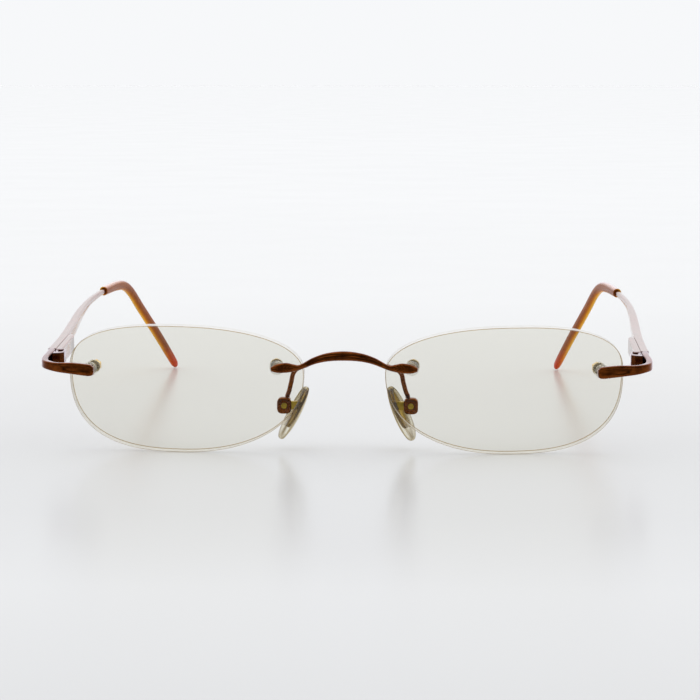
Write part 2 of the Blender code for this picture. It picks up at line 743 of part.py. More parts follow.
def add_pad(label, side, looks, swing):
    """The box on the arm, its screw, and the rocking cushion with its insert."""
    width, depth, height = PAD_BOX
    place = screw_place(side)
    front = -depth / 2

    box = block((-width / 2, front, -height / 2), (width / 2, -front, height / 2))
    edges_along_screw = [e for e in box.edges if abs(e.verts[0].co.y - e.verts[1].co.y) > 0.1]
    bmesh.ops.bevel(box, geom=edges_along_screw, offset=PAD_BOX_CORNER, segments=3, affect="EDGES")
    holder = add(f"{label}_pad_box", box, looks["copper"], side, place)
    drill = drill_shape(PAD_BORE_RADIUS, -THROUGH, THROUGH)
    recess = drill_shape(PAD_RECESS_RADIUS, -THROUGH, front + PAD_RECESS_DEPTH)
    mouth = block((-THROUGH, -LUG_SIZE[0] / 2 - 0.05, -1.3), (0.85, THROUGH, 1.3))
    cut(holder, [(mouth, side), (drill, side), (recess, side)])

    under_head = front + PAD_RECESS_DEPTH
    top = under_head - 0.27
    profile = (
        (0, top),
        (PAD_HEAD_RADIUS - 0.08, top),
        (PAD_HEAD_RADIUS, top + 0.1),
        (PAD_HEAD_RADIUS, under_head),
        (PAD_SHANK_RADIUS, under_head),
        (PAD_SHANK_RADIUS, -front),
        (0, -front),
    )
    screw = add(f"{label}_pad_screw", turned(profile, 16), looks["brass"], side, place)
    half_slot = PAD_SLOT_WIDTH / 2
    cut(screw, [(block((-1.0, -THROUGH, -half_slot), (1.0, top + 0.14, half_slot)), side)])

    add_pad_insert(label, side, looks, swing)
    add_cushion(label, side, looks, swing)


def pad_outline(length, width, count):
    """A soft D outline as (y, z) points, fuller below."""
    points = []
    for i in range(count):
        angle = 2 * math.pi * i / count
        c, s = math.cos(angle), math.sin(angle)
        fullness = 1.0 - 0.12 * s
        points.append((0.5 * width * fullness * c, 0.5 * length * s))
    return points


def add_pad_insert(label, side, looks, swing):
    """The plate inside the cushion, with the lug that the pad box holds."""
    place = pad_place(side)
    half = INSERT_THICK / 2
    outline = [(a, b + INSERT_RISE) for a, b in pad_outline(INSERT_LENGTH, INSERT_WIDTH, 20)]
    plate = loft([[(depth, a, b) for a, b in outline] for depth in (-half, half)])
    insert = add(f"{label}_pad_insert", plate, looks["brass"], side, place, swing)
    lug_place = screw_place(side)
    tool = add(f"{label}_lug_shape", lug_shape(side), looks["brass"], side, lug_place)
    tool.hide_render = True
    tool.display_type = "WIRE"
    join = insert.modifiers.new("lug", "BOOLEAN")
    join.operation = "UNION"
    join.solver = "EXACT"
    join.object = tool
    drill = drill_shape(LUG_BORE_RADIUS, -THROUGH, THROUGH)
    bmesh.ops.transform(drill, matrix=place.inverted() @ lug_place, verts=drill.verts)
    cut(insert, [(drill, side)])


def add_cushion(label, side, looks, swing):
    """The clear cushion, domed towards the nose, with a pocket that the insert sits in."""
    place = pad_place(side)
    outline = pad_outline(PAD_LENGTH, PAD_WIDTH, 24)
    nose, back = -PAD_THICK / 2, PAD_THICK / 2
    shares = (
        (nose, 0.0),
        (nose + 0.05, 0.45),
        (nose + 0.3, 0.8),
        (nose + 0.8, 1.0),
        (back - 0.5, 1.0),
        (back - 0.1, 0.92),
        (back, 0.8),
        (back, 0.0),
    )
    rings = []
    for depth, share in shares:
        ring = [(depth, a * share, b * share) for a, b in outline]
        rings.append(ring[:1] if share == 0 else ring)
    cushion = add(f"{label}_pad_cushion", loft(rings), looks["silicone"], side, place, swing)
    half = INSERT_THICK / 2 + FIT
    grown = pad_outline(INSERT_LENGTH + 2 * FIT, INSERT_WIDTH + 2 * FIT, 20)
    pocket = [(a, b + INSERT_RISE) for a, b in grown]
    room = loft([[(depth, a, b) for a, b in pocket] for depth in (-half, THROUGH)])
    cut(cushion, [(room, side)])


def main():
    clear_scene()
    looks = {
        "copper": material("dark_copper", (0.16, 0.06, 0.03), 1.0, 0.35),
        "brass": material("brass", (0.75, 0.55, 0.25), 1.0, 0.3),
        "steel": material("spring_steel", (0.6, 0.6, 0.62), 1.0, 0.3),
        "lens": material("tinted_lens", (0.8, 0.76, 0.68), 0.0, 0.05, 0.4),
        "clear": material("clear_nylon", (0.9, 0.9, 0.88), 0.0, 0.2, 0.5),
        "silicone": material("clear_silicone", (0.9, 0.86, 0.7), 0.0, 0.25, 0.5),
        "tortoise": material("tortoise_acetate", (0.45, 0.15, 0.04), 0.0, 0.25),
    }
    add_bridge(looks)
    for label, side in SIDES:
        fold = empty(f"{label}_pin_axis", pin_place(), side)
        swing = empty(f"{label}_pad_axis", screw_place(side), side)
        add_lens(label, side, looks)
        add_mount(f"{label}_outer", side, OUTER_HOLE, looks)
        add_mount(f"{label}_nasal", side, NASAL_HOLE, looks)
        add_endpiece(label, side, looks)
        add_hinge(label, side, looks, fold)
        add_temple(label, side, looks, fold)
        add_pad_arm(label, side, looks)
        add_pad(label, side, looks, swing)


main()
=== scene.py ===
"""Rimless eyeglasses with sprung hinges: fine surfaces, materials, floor, light and camera.

Lengths are millimetres until a mesh is made. Every piece is shaped for the wearer's left and mirrored for
the right. Y values of the shapes are measured back from the lens plane.
"""

import math

import bmesh
import bpy
import numpy as np
from mathutils import Matrix, Vector
from mathutils.geometry import delaunay_2d_cdt


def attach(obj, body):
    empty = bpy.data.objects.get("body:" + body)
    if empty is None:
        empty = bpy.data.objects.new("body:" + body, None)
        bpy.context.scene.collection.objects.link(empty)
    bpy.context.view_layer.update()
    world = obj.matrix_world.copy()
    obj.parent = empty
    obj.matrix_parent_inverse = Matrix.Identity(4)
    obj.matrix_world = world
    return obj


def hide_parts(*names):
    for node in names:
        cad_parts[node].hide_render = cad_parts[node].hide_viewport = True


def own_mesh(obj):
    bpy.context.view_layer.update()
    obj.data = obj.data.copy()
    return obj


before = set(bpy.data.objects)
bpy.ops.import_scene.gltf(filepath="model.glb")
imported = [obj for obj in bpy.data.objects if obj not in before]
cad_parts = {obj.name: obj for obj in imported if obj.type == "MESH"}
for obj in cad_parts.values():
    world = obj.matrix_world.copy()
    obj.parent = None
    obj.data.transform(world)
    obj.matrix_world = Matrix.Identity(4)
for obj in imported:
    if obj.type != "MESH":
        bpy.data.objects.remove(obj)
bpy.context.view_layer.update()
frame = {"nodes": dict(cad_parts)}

MM = 0.001
SIDES = (("right", -1), ("left", 1))
SMOOTH_ANGLE = 32.0
FIT = 0.03
FRONT_Y = -67.6

LENS_WIDTH = 51.0
LENS_GAP = 17.7
LENS_CURVE = 132.0
LENS_THICK = 2.0
LENS_TEMPLE_REACH = 23.9
LENS_UPPER_RISE = 10.5
LENS_LOWER_DROP = 17.6
LENS_CENTRE_Z = 13.79
LENS_WRAP = math.radians(4.0)
LENS_TILT = math.radians(8.0)
UPPER_POWERS = (2.54, 2.2)
LOWER_POWERS = (2.68, 2.21)
OUTER_HOLE = (20.8, 3.95)
NASAL_HOLE = (-19.85, 5.25)
LENS_HOLES = (OUTER_HOLE, NASAL_HOLE)
HOLE_RADIUS = 0.96
STUD_RADIUS = 0.62
STUD_LENGTH = 4.8
FLANGE_RADIUS = 1.55
FLANGE_THICK = 0.4
WASHER_RADIUS = 1.5
WASHER_THICK = 0.4
PLATE_RADIUS = 1.3
PLATE_THICK = 0.25
NUT_CORNERS = 2.45
NUT_THICK = 1.2

PIN = (62.9, 12.0, 19.15)
TEMPLE_RISE = math.radians(4.0)
BUTT_Y = 1.1
EAR_RADIUS = 1.15
EAR_HEIGHT = 3.6
EYE_HEIGHT = 0.9
PIN_RADIUS = 0.38
HOUSING_FRONT = 1.35
HOUSING_BACK = 19.5
HOUSING_INNER = -0.1
HOUSING_OUTER = 1.25
HOUSING_HEIGHT = 3.6
HOUSING_EDGE = 0.3
REAR_CHAMFER = 2.4
BORE_RADIUS = 0.5
BORE_END = 12.5
ROD_X = 0.6
LEG_X = PIN[0] + HOUSING_OUTER + FIT + 0.85

ARM_RADIUS = 0.5
PAD_SCREW = {-1: (13.3, 6.4, 9.85), 1: (14.15, 6.4, 9.85)}
PAD_CENTRE = {-1: (11.1, 7.6, 7.9), 1: (11.8, 7.6, 7.9)}
PAD_LEAN = {-1: math.radians(28.0), 1: math.radians(24.0)}
PAD_SPLAY = {-1: math.radians(10.0), 1: math.radians(15.5)}
PAD_LENGTH = 12.9
PAD_WIDTH = 7.0
PAD_THICK = 2.1
PAD_BOX = (3.1, 2.2, 3.5)
INSERT_LENGTH = 9.0
INSERT_WIDTH = 4.4
INSERT_THICK = 0.5
INSERT_RISE = 1.2
LUG_SIZE = (0.62, 1.0, 1.8)

LENS_CHAMFER = 0.14
LENS_GRID = 1.15
THREAD_PITCH = 0.3
THREAD_DEPTH = 0.09
PIN_HEAD_RADIUS = 0.72
PIN_HEAD_HEIGHT = 0.25
SCREW_SLOT = 0.18
PAD_HEAD_RADIUS = 0.68
PAD_HEAD_SEAT = 0.35
PAD_SHANK_RADIUS = 0.38

EYE = (19.1, -523.6, 80.9)
TARGET = (1.2, -67.6, 22.8)
CAMERA_LENS = 111.03
OVERHEAD = 1.25
FLOOR_NEAR = -0.3
FLOOR_FAR = 1.0
# Painted light and shade on the board: its tone at each depth y, in metres.
FLOOR_PAINTED_LIGHT = (
    (-0.26, 0.68),
    (-0.19, 0.74),
    (-0.13, 0.68),
    (-0.09, 0.68),
    (-0.03, 0.71),
    (0.02, 0.72),
    (0.25, 0.83),
    (0.9, 0.89),
)
SOFTBOX = {"size": (1.2, 0.9), "power": 0.6}
STRIP = {"size": (0.3, 0.8), "power": 0.15}


# ---- points and meshes ----------------------------------------------------------------------------------


class Shape:
    """Points, faces, a mark from 0 to 1 on each point, and a material number on each face."""

    def __init__(self):
        self.points, self.faces, self.marks, self.looks = [], [], [], []

    def skin(self, rings, look=0, joined=False, marks=None, looks=None):
        """Faces between rings of equal size, or of one point. Open ends are filled unless joined."""
        start = len(self.points)
        rows, at = [], start
        for i, ring in enumerate(rings):
            rows.append(list(range(at, at + len(ring))))
            at += len(ring)
            self.points += [Vector(p) for p in ring]
            self.marks += list(marks[i]) if marks is not None else [0.0] * len(ring)
        pairs = list(zip(rows, rows[1:]))
        if joined:
            pairs.append((rows[-1], rows[0]))
        for index, (row, after) in enumerate(pairs):
            n = max(len(row), len(after))
            shade = looks[index] if looks else look
            for i in range(n):
                j = (i + 1) % n
                near = [row[i % len(row)], row[j % len(row)]]
                far = [after[j % len(after)], after[i % len(after)]]
                self.faces.append(list(dict.fromkeys(near + far)))
                self.looks.append(shade)
        if not joined:
            for row in (rows[0], rows[-1]):
                if len(row) > 1:
                    self.faces.append(row)
                    self.looks.append(looks[0] if looks else look)
        return self


def mesh_of(name, shape, side, place):
    """A mesh in metres from a shape in millimetres, mirrored for the right side, faces turned out."""
    points = [place @ p for p in shape.points]
    if side < 0:
        points = [Vector((-p.x, p.y, p.z)) for p in points]
    data = bpy.data.meshes.new(name)
    data.from_pydata([p * MM for p in points], [], shape.faces)
    for polygon, look in zip(data.polygons, shape.looks):
        polygon.material_index = look
    made = bmesh.new()
    made.from_mesh(data)
    bmesh.ops.recalc_face_normals(made, faces=made.faces)
    made.to_mesh(data)
    made.free()
    return data


def piece(name, shape, looks, body, side=1, place=None, nodes=(), sharp=SMOOTH_ANGLE):
    """An object from a shape. Its points are in place's axes, or world ones measured from the lens plane."""
    data = mesh_of(name, shape, side, place or Matrix.Translation((0.0, FRONT_Y, 0.0)))
    mark = data.attributes.new("mark", "FLOAT", "POINT")
    mark.data.foreach_set("value", np.array(shape.marks, np.float32))
    data.shade_smooth()
    data.set_sharp_from_angle(angle=math.radians(sharp))
    for look in looks if isinstance(looks, (list, tuple)) else [looks]:
        data.materials.append(look)
    made = bpy.data.objects.new(name, data)
    bpy.context.scene.collection.objects.link(made)
    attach(made, body)
    if nodes:
        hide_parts(*nodes)
    return made


def cut(target, shape, side, place, operation="DIFFERENCE"):
    """Cuts a closed shape from a piece, or adds it, for good."""
    tool = bpy.data.objects.new("tool", mesh_of("tool", shape, side, place))
    bpy.context.scene.collection.objects.link(tool)
    step = target.modifiers.new("cut", "BOOLEAN")
    step.operation = operation
    step.solver = "EXACT"
    step.object = tool
    bpy.context.view_layer.update()
    graph = bpy.context.evaluated_depsgraph_get()
    result = bpy.data.meshes.new_from_object(target.evaluated_get(graph))
    target.modifiers.remove(step)
    bpy.data.objects.remove(tool)
    target.data = result
    result.shade_smooth()
    result.set_sharp_from_angle(angle=math.radians(SMOOTH_ANGLE))


def softened(points, radius, steps=4, closed=True, keep=()):
    """A 2D outline whose corners are rounded. Corners listed in keep, and the ends of an open line, stay."""
    made = []
    n = len(points)
    for i, corner in enumerate(points):
        corner = Vector(corner)
        if (not closed and i in (0, n - 1)) or i in keep:
            made.append(tuple(corner))
            continue
        before, after = Vector(points[i - 1]), Vector(points[(i + 1) % n])
        reach = min(radius, (before - corner).length * 0.45, (after - corner).length * 0.45)
        start = corner + (before - corner).normalized() * reach
        end = corner + (after - corner).normalized() * reach
        for k in range(steps + 1):
            t = k / steps
            made.append(tuple(start.lerp(corner, t).lerp(corner.lerp(end, t), t)))
    return made


def spaced(points, step):
    """A closed outline with points added so that none are further apart than step."""
    made = []
    for i, start in enumerate(points):
        end = points[(i + 1) % len(points)]
        pieces = max(1, math.ceil(math.dist(start, end) / step))
        for k in range(pieces):
            t = k / pieces
            made.append((start[0] + (end[0] - start[0]) * t, start[1] + (end[1] - start[1]) * t))
    return made


def circle(radius, y, count, centre=(0.0, 0.0)):
    """A ring about local Y at y."""
    angles = [2 * math.pi * i / count for i in range(count)]
    return [(centre[0] + radius * math.cos(a), y, centre[1] + radius * math.sin(a)) for a in angles]


def lathe(profile, count=48, centre=(0.0, 0.0), joined=False):
    """A solid of revolution about local Y."""
    rings = []
    for radius, y in profile:
        rings.append(circle(radius, y, count, centre) if radius > 1e-6 else [(centre[0], y, centre[1])])
    return Shape().skin(rings, joined=joined)


def collar(inner, outer, start, end, edge=0.08, count=48, centre=(0.0, 0.0)):
    """A washer or tube about local Y with rounded edges."""
    profile = softened([(inner, start), (outer, start), (outer, end), (inner, end)], edge, 3)
    return lathe(profile, count, centre, joined=True)


def upright(shape):
    """Turns a shape about local Y so that it stands about local Z."""
    shape.points = [Vector((p.x, -p.z, p.y)) for p in shape.points]
    return shape


def inset(outline, distance):
    """A closed 2D outline moved inwards."""
    n = len(outline)
    area = sum(outline[i - 1][0] * outline[i][1] - outline[i][0] * outline[i - 1][1] for i in range(n))
    turn = 1 if area > 0 else -1
    made = []
    for i, (x, y) in enumerate(outline):
        dx = outline[(i + 1) % n][0] - outline[i - 1][0]
        dy = outline[(i + 1) % n][1] - outline[i - 1][1]
        size = math.hypot(dx, dy) or 1.0
        made.append((x - turn * dy / size * distance, y + turn * dx / size * distance))
    return made


def slab(outline, low, high, edge, to_point):
    """An outline raised from low to high with rounded rims."""
    rings = []
    levels = [(low, 1.0), (low + 0.3 * edge, 0.3), (low + edge, 0.0)]
    levels += [(high - edge, 0.0), (high - 0.3 * edge, 0.3), (high, 1.0)]
    for level, share in levels:
        ring = inset(outline, edge * share) if share else outline
        rings.append([to_point(x, y, level) for x, y in ring])
    return Shape().skin(rings)


def rectangle(left, right, low, high):
    return [(left, low), (right, low), (right, high), (left, high)]


def along_x(a, b, level):
    return (level, a, b)


def along_y(a, b, level):
    return (a, level, b)


def along_z(a, b, level):
    return (a, b, level)


def prism(outline, start, end, to_point):
    """A closed 2D outline between two levels."""
    return Shape().skin([[to_point(a, b, level) for a, b in outline] for level in (start, end)])


def drill(radius):
    """A long round cutter about local Y."""
    return lathe([(0, -3.0), (radius, -3.0), (radius, 3.0), (0, 3.0)], 32)


def rounded_section(width, height, power, count):
    """A section between an ellipse (power 2) and a rectangle (a high power)."""
    points = []
    for i in range(count):
        angle = 2 * math.pi * (i + 0.5) / count
        c, s = math.cos(angle), math.sin(angle)
        across = 0.5 * width * math.copysign(abs(c) ** (2 / power), c)
        up = 0.5 * height * math.copysign(abs(s) ** (2 / power), s)
        points.append((across, up))
    return points


def smooth_rows(rows, steps):
    """Rows of numbers along a smooth curve through the given rows, with steps pieces between each two."""
    made = []
    last = len(rows) - 1
    for i in range(last):
        before, start = rows[max(i - 1, 0)], rows[i]
        end, after = rows[i + 1], rows[min(i + 2, last)]
        for k in range(steps):
            t = k / steps
            row = []
            for p0, p1, p2, p3 in zip(before, start, end, after):
                slope1 = (p2 - p0) / (2 if i > 0 else 1)
                slope2 = (p3 - p1) / (2 if i < last - 1 else 1)
                a = 2 * p1 - 2 * p2 + slope1 + slope2
                b = 3 * p2 - 3 * p1 - 2 * slope1 - slope2
                row.append(((a * t + b) * t + slope1) * t + p1)
            made.append(row)
    made.append(list(rows[-1]))
    return made


def routed(rows, count, power, carve=None, ends=(0.0, 0.0)):
    """Rings and marks of a bar along rows of (x, y, z, thickness, height).

    power is how square the section is at the start, how square it gets, and by what share of the route.
    carve(s, b, across) gives a groove's depth in mm and its mark at s along the bar and b above its middle.
    ends gives how far each end is rounded off.
    """
    centres = [Vector(row[:3]) for row in rows]
    along = [0.0]
    for a, b in zip(centres, centres[1:]):
        along.append(along[-1] + (b - a).length)
    rings, marks = [], []
    for i, row in enumerate(rows):
        ahead = centres[min(i + 1, len(rows) - 1)] - centres[max(i - 1, 0)]
        across = ahead.cross(Vector((0.0, 0.0, 1.0))).normalized()
        rise = across.cross(ahead).normalized()
        share = i / (len(rows) - 1)
        squareness = power[0] + (power[1] - power[0]) * min(1.0, share / power[2])
        section = np.array(rounded_section(row[3], row[4], squareness, count))
        depth, mark = np.zeros(count), np.zeros(count)
        if carve:
            depth, mark = carve(along[i], section[:, 1], section[:, 0])
        normal = section / np.maximum(np.linalg.norm(section, axis=1), 1e-6)[:, None]
        section = section - normal * depth[:, None]
        ring = [centres[i] + across * a + rise * b for a, b in section]
        rings.append(ring)
        marks.append(list(mark))
    for end, reach in enumerate(ends):
        if reach <= 0:
            continue
        order = -1 if end else 0
        ring, mark = rings[order], marks[order]
        middle = sum(ring, Vector()) / len(ring)
        ahead = (centres[-1] - centres[-2]) if end else (centres[0] - centres[1])
        ahead.normalize()
        for k in range(1, 5):
            angle = 0.5 * math.pi * k / 4
            share = math.cos(angle)
            cap = [middle + (p - middle) * share + ahead * reach * math.sin(angle) for p in ring]
            cap = cap if k < 4 else [middle + ahead * reach]
            rings = rings + [cap] if end else [cap] + rings
            marks = marks + [mark[: len(cap)]] if end else [mark[: len(cap)]] + marks
    return rings, marks


def wire(points, radius, count=24):
    """Round sections carried along a route without twist."""
    centres = [Vector(p) for p in points]
    ahead = (centres[1] - centres[0]).normalized()
    out = ahead.orthogonal().normalized()
    rings = []
    for i, centre in enumerate(centres):
        ahead = (centres[min(i + 1, len(centres) - 1)] - centres[max(i - 1, 0)]).normalized()
        out = (out - ahead * out.dot(ahead)).normalized()
        side = ahead.cross(out)
        angles = [2 * math.pi * k / count for k in range(count)]
        rings.append([centre + (out * math.cos(a) + side * math.sin(a)) * radius for a in angles])
    return rings


def grooves(lines, width, depth):
    """A carve function for routed(): grooves along polylines of (s, b) on the front of a bar."""
    starts = np.array([a for line in lines for a in line[:-1]], float)
    ends = np.array([b for line in lines for b in line[1:]], float)

    def carve(s, b, across):
        spots = np.stack([np.full(len(b), s), b], axis=1)[:, None, :]
        reach = ends - starts
        t = ((spots - starts) * reach).sum(2) / (reach**2).sum(1)
        t = np.clip(t, 0, 1)[:, :, None]
        away = np.linalg.norm(spots - starts - reach * t, axis=2).min(1)
        mark = np.clip(1 - away / width, 0, 1) ** 0.8
        mark = np.where(across < 0, mark, 0.0)
        return mark * depth, mark

    return carve


# ---- placements, for the left side ---------------------------------------------------------------------


def lens_place():
    out = Matrix.Translation((LENS_GAP / 2 + LENS_WIDTH / 2, 0.0, 0.0))
    tilt = Matrix.Rotation(LENS_TILT, 4, "X")
    wrap = Matrix.Rotation(LENS_WRAP, 4, "Z")
    return Matrix.Translation((0.0, FRONT_Y, LENS_CENTRE_Z)) @ tilt @ out @ wrap


def lens_sag(u, v):
    return LENS_CURVE - math.sqrt(LENS_CURVE**2 - u * u - v * v)


def hole_place(hole):
    u, v = hole
    sag = lens_sag(u, v)
    back = Vector((-u, LENS_CURVE - sag, -v)).normalized()
    side = back.cross(Vector((0.0, 0.0, 1.0))).normalized()
    up = side.cross(back)
    local = Matrix((side, back, up)).transposed().to_4x4()
    local.translation = Vector((u, sag, v))
    return lens_place() @ local


def pin_place():
    x, y, z = PIN
    return Matrix.Translation((x, FRONT_Y + y, z)) @ Matrix.Rotation(TEMPLE_RISE, 4, "X")


def from_front(x, y, z):
    return Vector((x, y + FRONT_Y, z))


def pad_place(side):
    lean = Matrix.Rotation(-PAD_LEAN[side], 4, "Y")
    splay = Matrix.Rotation(-PAD_SPLAY[side], 4, "Z")
    return Matrix.Translation(from_front(*PAD_CENTRE[side])) @ lean @ splay


def screw_place(side):
    return Matrix.Translation(from_front(*PAD_SCREW[side]))


def frame_route(matrix, *points):
    return [matrix @ Vector(point) - Vector((0.0, FRONT_Y, 0.0)) for point in points]


# ---- materials ------------------------------------------------------------------------------------------


def node(tree, kind, values=None, **settings):
    made = tree.nodes.new(kind)
    for key, value in settings.items():
        setattr(made, key, value)
    for key, value in (values or {}).items():
        if isinstance(value, bpy.types.NodeSocket):
            tree.links.new(value, made.inputs[key])
        else:
            made.inputs[key].default_value = value
    return made


def new_material(name):
    made = bpy.data.materials.new(name)
    made.use_nodes = True
    made.node_tree.nodes.clear()
    return made, made.node_tree


def finish_material(tree, shader):
    out = node(tree, "ShaderNodeOutputMaterial")
    tree.links.new(shader, out.inputs["Surface"])


def grain(tree, scale, stretch=(1, 1, 1), detail=3.0, roughness=0.55, distortion=0.0):
    """A noise value in object space. scale is in waves per metre."""
    where = node(tree, "ShaderNodeTexCoord").outputs["Object"]
    mapped = node(tree, "ShaderNodeMapping", {"Vector": where, "Scale": tuple(stretch)}).outputs["Vector"]
    made = node(
        tree,
        "ShaderNodeTexNoise",
        {
            "Vector": mapped,
            "Scale": scale,
            "Detail": detail,
            "Roughness": roughness,
            "Distortion": distortion,
        },
    )
    return made.outputs["Fac"]


def ramp(tree, factor, *stops):
    """A colour ramp of (position, (r, g, b)) stops."""
    made = node(tree, "ShaderNodeValToRGB", {"Fac": factor})
    elements = made.color_ramp.elements
    while len(elements) < len(stops):
        elements.new(0.5)
    for element, (position, colour) in zip(elements, stops):
        element.position = position
        element.color = (*colour, 1.0)
    return made.outputs["Color"]


def math_of(tree, operation, *values):
    return node(tree, "ShaderNodeMath", dict(enumerate(values)), operation=operation).outputs[0]


def ranged(tree, value, low, high, start=0.0, end=1.0):
    made = node(
        tree,
        "ShaderNodeMapRange",
        {"Value": value, "From Min": start, "From Max": end, "To Min": low, "To Max": high},
    )
    return made.outputs["Result"]


def mixed(tree, factor, first, second, blend="MIX"):
    made = node(tree, "ShaderNodeMix", data_type="RGBA", blend_type=blend)
    for key, value in (("Factor", factor), ("A", first), ("B", second)):
        socket = next(s for s in made.inputs if s.name == key and s.enabled)
        if isinstance(value, bpy.types.NodeSocket):
            tree.links.new(value, socket)
        else:
            socket.default_value = value if key == "Factor" else (*value, 1.0)
    return next(s for s in made.outputs if s.enabled)


def bumped(tree, height, strength, distance):
    return node(
        tree, "ShaderNodeBump", {"Height": height, "Strength": strength, "Distance": distance}
    ).outputs["Normal"]


def grazed(tree, shader, power, most, colour, roughness, from_rise=-1.0):
    """A pale gloss over a shader seen at a low angle, where its surface looks up by from_rise."""
    facing = node(tree, "ShaderNodeLayerWeight", {"Blend": 0.5}).outputs["Facing"]
    low = math_of(tree, "POWER", facing, power)
    if from_rise > -1.0:
        normal = node(tree, "ShaderNodeNewGeometry").outputs["Normal"]
        rise = node(tree, "ShaderNodeSeparateXYZ", {"Vector": normal}).outputs["Z"]
        upward = ranged(tree, rise, 0.0, 1.0, from_rise, from_rise + 0.5)
        low = math_of(tree, "MULTIPLY", low, upward)
    share = node(tree, "ShaderNodeMath", {0: low, 1: most}, operation="MULTIPLY", use_clamp=True).outputs[0]
    gloss = node(tree, "ShaderNodeBsdfGlossy", {"Color": (*colour, 1.0), "Roughness": roughness})
    return node(tree, "ShaderNodeMixShader", {0: share, 1: shader, 2: gloss.outputs[0]}).outputs[0]


def metal(name, dark, light, mark, stretch=(1, 1, 1), rough=(0.2, 0.36), coat=0.0, bump=0.12, low_gloss=0.0):
    """Plated metal: cloudy tone, fine drawn lines along the piece, dark grooves."""
    made, tree = new_material(name)
    cloud = grain(tree, 420.0, detail=4.0)
    lines = grain(tree, 2600.0, stretch, detail=2.0, roughness=0.7)
    tone = ramp(tree, cloud, (0.34, dark), (0.66, light))
    tone = mixed(tree, ranged(tree, lines, 0.0, 0.45, 0.35, 0.75), tone, tuple(0.55 * c for c in dark))
    groove = node(tree, "ShaderNodeAttribute", attribute_name="mark").outputs["Fac"]
    tone = mixed(tree, ranged(tree, groove, 0.0, 0.9), tone, mark)
    dull = ranged(tree, cloud, rough[0], rough[1], 0.3, 0.7)
    dull = math_of(tree, "ADD", dull, ranged(tree, groove, 0.0, 0.25))
    shader = node(
        tree,
        "ShaderNodeBsdfPrincipled",
        {
            "Base Color": tone,
            "Metallic": 1.0,
            "Roughness": dull,
            "Coat Weight": coat,
            "Coat Roughness": 0.12,
            "Normal": bumped(tree, lines, bump, 0.00002),
        },
    ).outputs["BSDF"]
    if low_gloss:
        shader = grazed(tree, shader, 4.0, low_gloss, (0.93, 0.86, 0.92), 0.12)
    finish_material(tree, shader)
    return made


def clear(
    name,
    through,
    body,
    edge,
    solid=0.12,
    gloss=0.05,
    ior=1.5,
    edge_power=2.2,
    grain_size=600.0,
    lined=(0.5, 0.4, 0.2),
):
    """Clear plastic or glass that doesn't bend light: a tinted view through it, body colour and a sheen.

    through, edge and lined tint the view face on, at a low angle and along marks. solid is the body's share.
    """
    made, tree = new_material(name)
    facing = node(tree, "ShaderNodeLayerWeight", {"Blend": 0.5}).outputs["Facing"]
    rim = math_of(tree, "POWER", facing, edge_power)
    cloud = grain(tree, grain_size, detail=3.0)
    line = node(tree, "ShaderNodeAttribute", attribute_name="mark").outputs["Fac"]
    tint = mixed(tree, line, mixed(tree, rim, through, edge), lined)
    sight = node(tree, "ShaderNodeBsdfTransparent", {"Color": tint})
    tone = mixed(tree, ranged(tree, cloud, 0.0, 0.5, 0.3, 0.7), body, tuple(0.8 * c for c in body))
    bump = bumped(tree, cloud, 0.08, 0.00003)
    milk = node(tree, "ShaderNodeBsdfPrincipled", {"Base Color": tone, "Roughness": 0.35, "Normal": bump})
    share = ranged(tree, rim, solid, min(1.0, solid * 1.5))
    inside = node(tree, "ShaderNodeMixShader", {0: share, 1: sight.outputs[0], 2: milk.outputs[0]})
    dull = ranged(tree, cloud, gloss, gloss + 0.05)
    sheen = node(tree, "ShaderNodeBsdfGlossy", {"Roughness": dull, "Normal": bump})
    mirror = node(tree, "ShaderNodeFresnel", {"IOR": ior, "Normal": bump}).outputs[0]
    near_side = ranged(tree, node(tree, "ShaderNodeNewGeometry").outputs["Backfacing"], 1.0, 0.0)
    mirror = math_of(tree, "MULTIPLY", mirror, near_side)
    shader = node(tree, "ShaderNodeMixShader", {0: mirror, 1: inside.outputs[0], 2: sheen.outputs[0]})
    finish_material(tree, shader.outputs[0])
    return made


def tortoise(name):
    """Amber acetate: dark along the inner side, orange along the outer one, red at its end. The change from
    the dark inner side to the bright orange outer side is painted light shining through the thin acetate,
    over its own amber.
    """
    made, tree = new_material(name)
    where = node(tree, "ShaderNodeAttribute", attribute_name="mark").outputs["Fac"]
    cloud = grain(tree, 160.0, (1, 0.5, 0.6), detail=3.0, distortion=0.6)
    specks = grain(tree, 700.0, detail=2.0)
    # Painted light: from the dark inner side to the bright orange outer side, as light shining through the
    # thin acetate.
    stops = (
        (0.04, (0.30, 0.07, 0.006)),
        (0.22, (0.58, 0.17, 0.006)),
        (0.4, (0.92, 0.38, 0.015)),
        (0.62, (1.0, 0.56, 0.05)),
    )
    tone = ramp(tree, where, *stops)
    tone = mixed(tree, ranged(tree, cloud, 0.0, 0.35, 0.45, 0.7), tone, (0.16, 0.035, 0.005))
    tone = mixed(tree, ranged(tree, specks, 0.0, 0.2, 0.5, 0.8), tone, (0.70, 0.24, 0.03))
    spot = node(tree, "ShaderNodeTexCoord").outputs["Object"]
    height = node(tree, "ShaderNodeSeparateXYZ", {"Vector": spot}).outputs["Z"]
    tone = mixed(tree, ranged(tree, height, 0.8, 0.0, 0.001, 0.007), tone, (0.80, 0.05, 0.004))
    shader = node(
        tree,
        "ShaderNodeBsdfPrincipled",
        {
            "Base Color": tone,
            "Roughness": ranged(tree, specks, 0.16, 0.26),
            "Specular IOR Level": 0.12,
            "Normal": bumped(tree, specks, 0.05, 0.00003),
        },
    )
    finish_material(tree, grazed(tree, shader.outputs["BSDF"], 5.0, 2.2, (0.95, 0.88, 0.92), 0.1, 0.3))
    return made


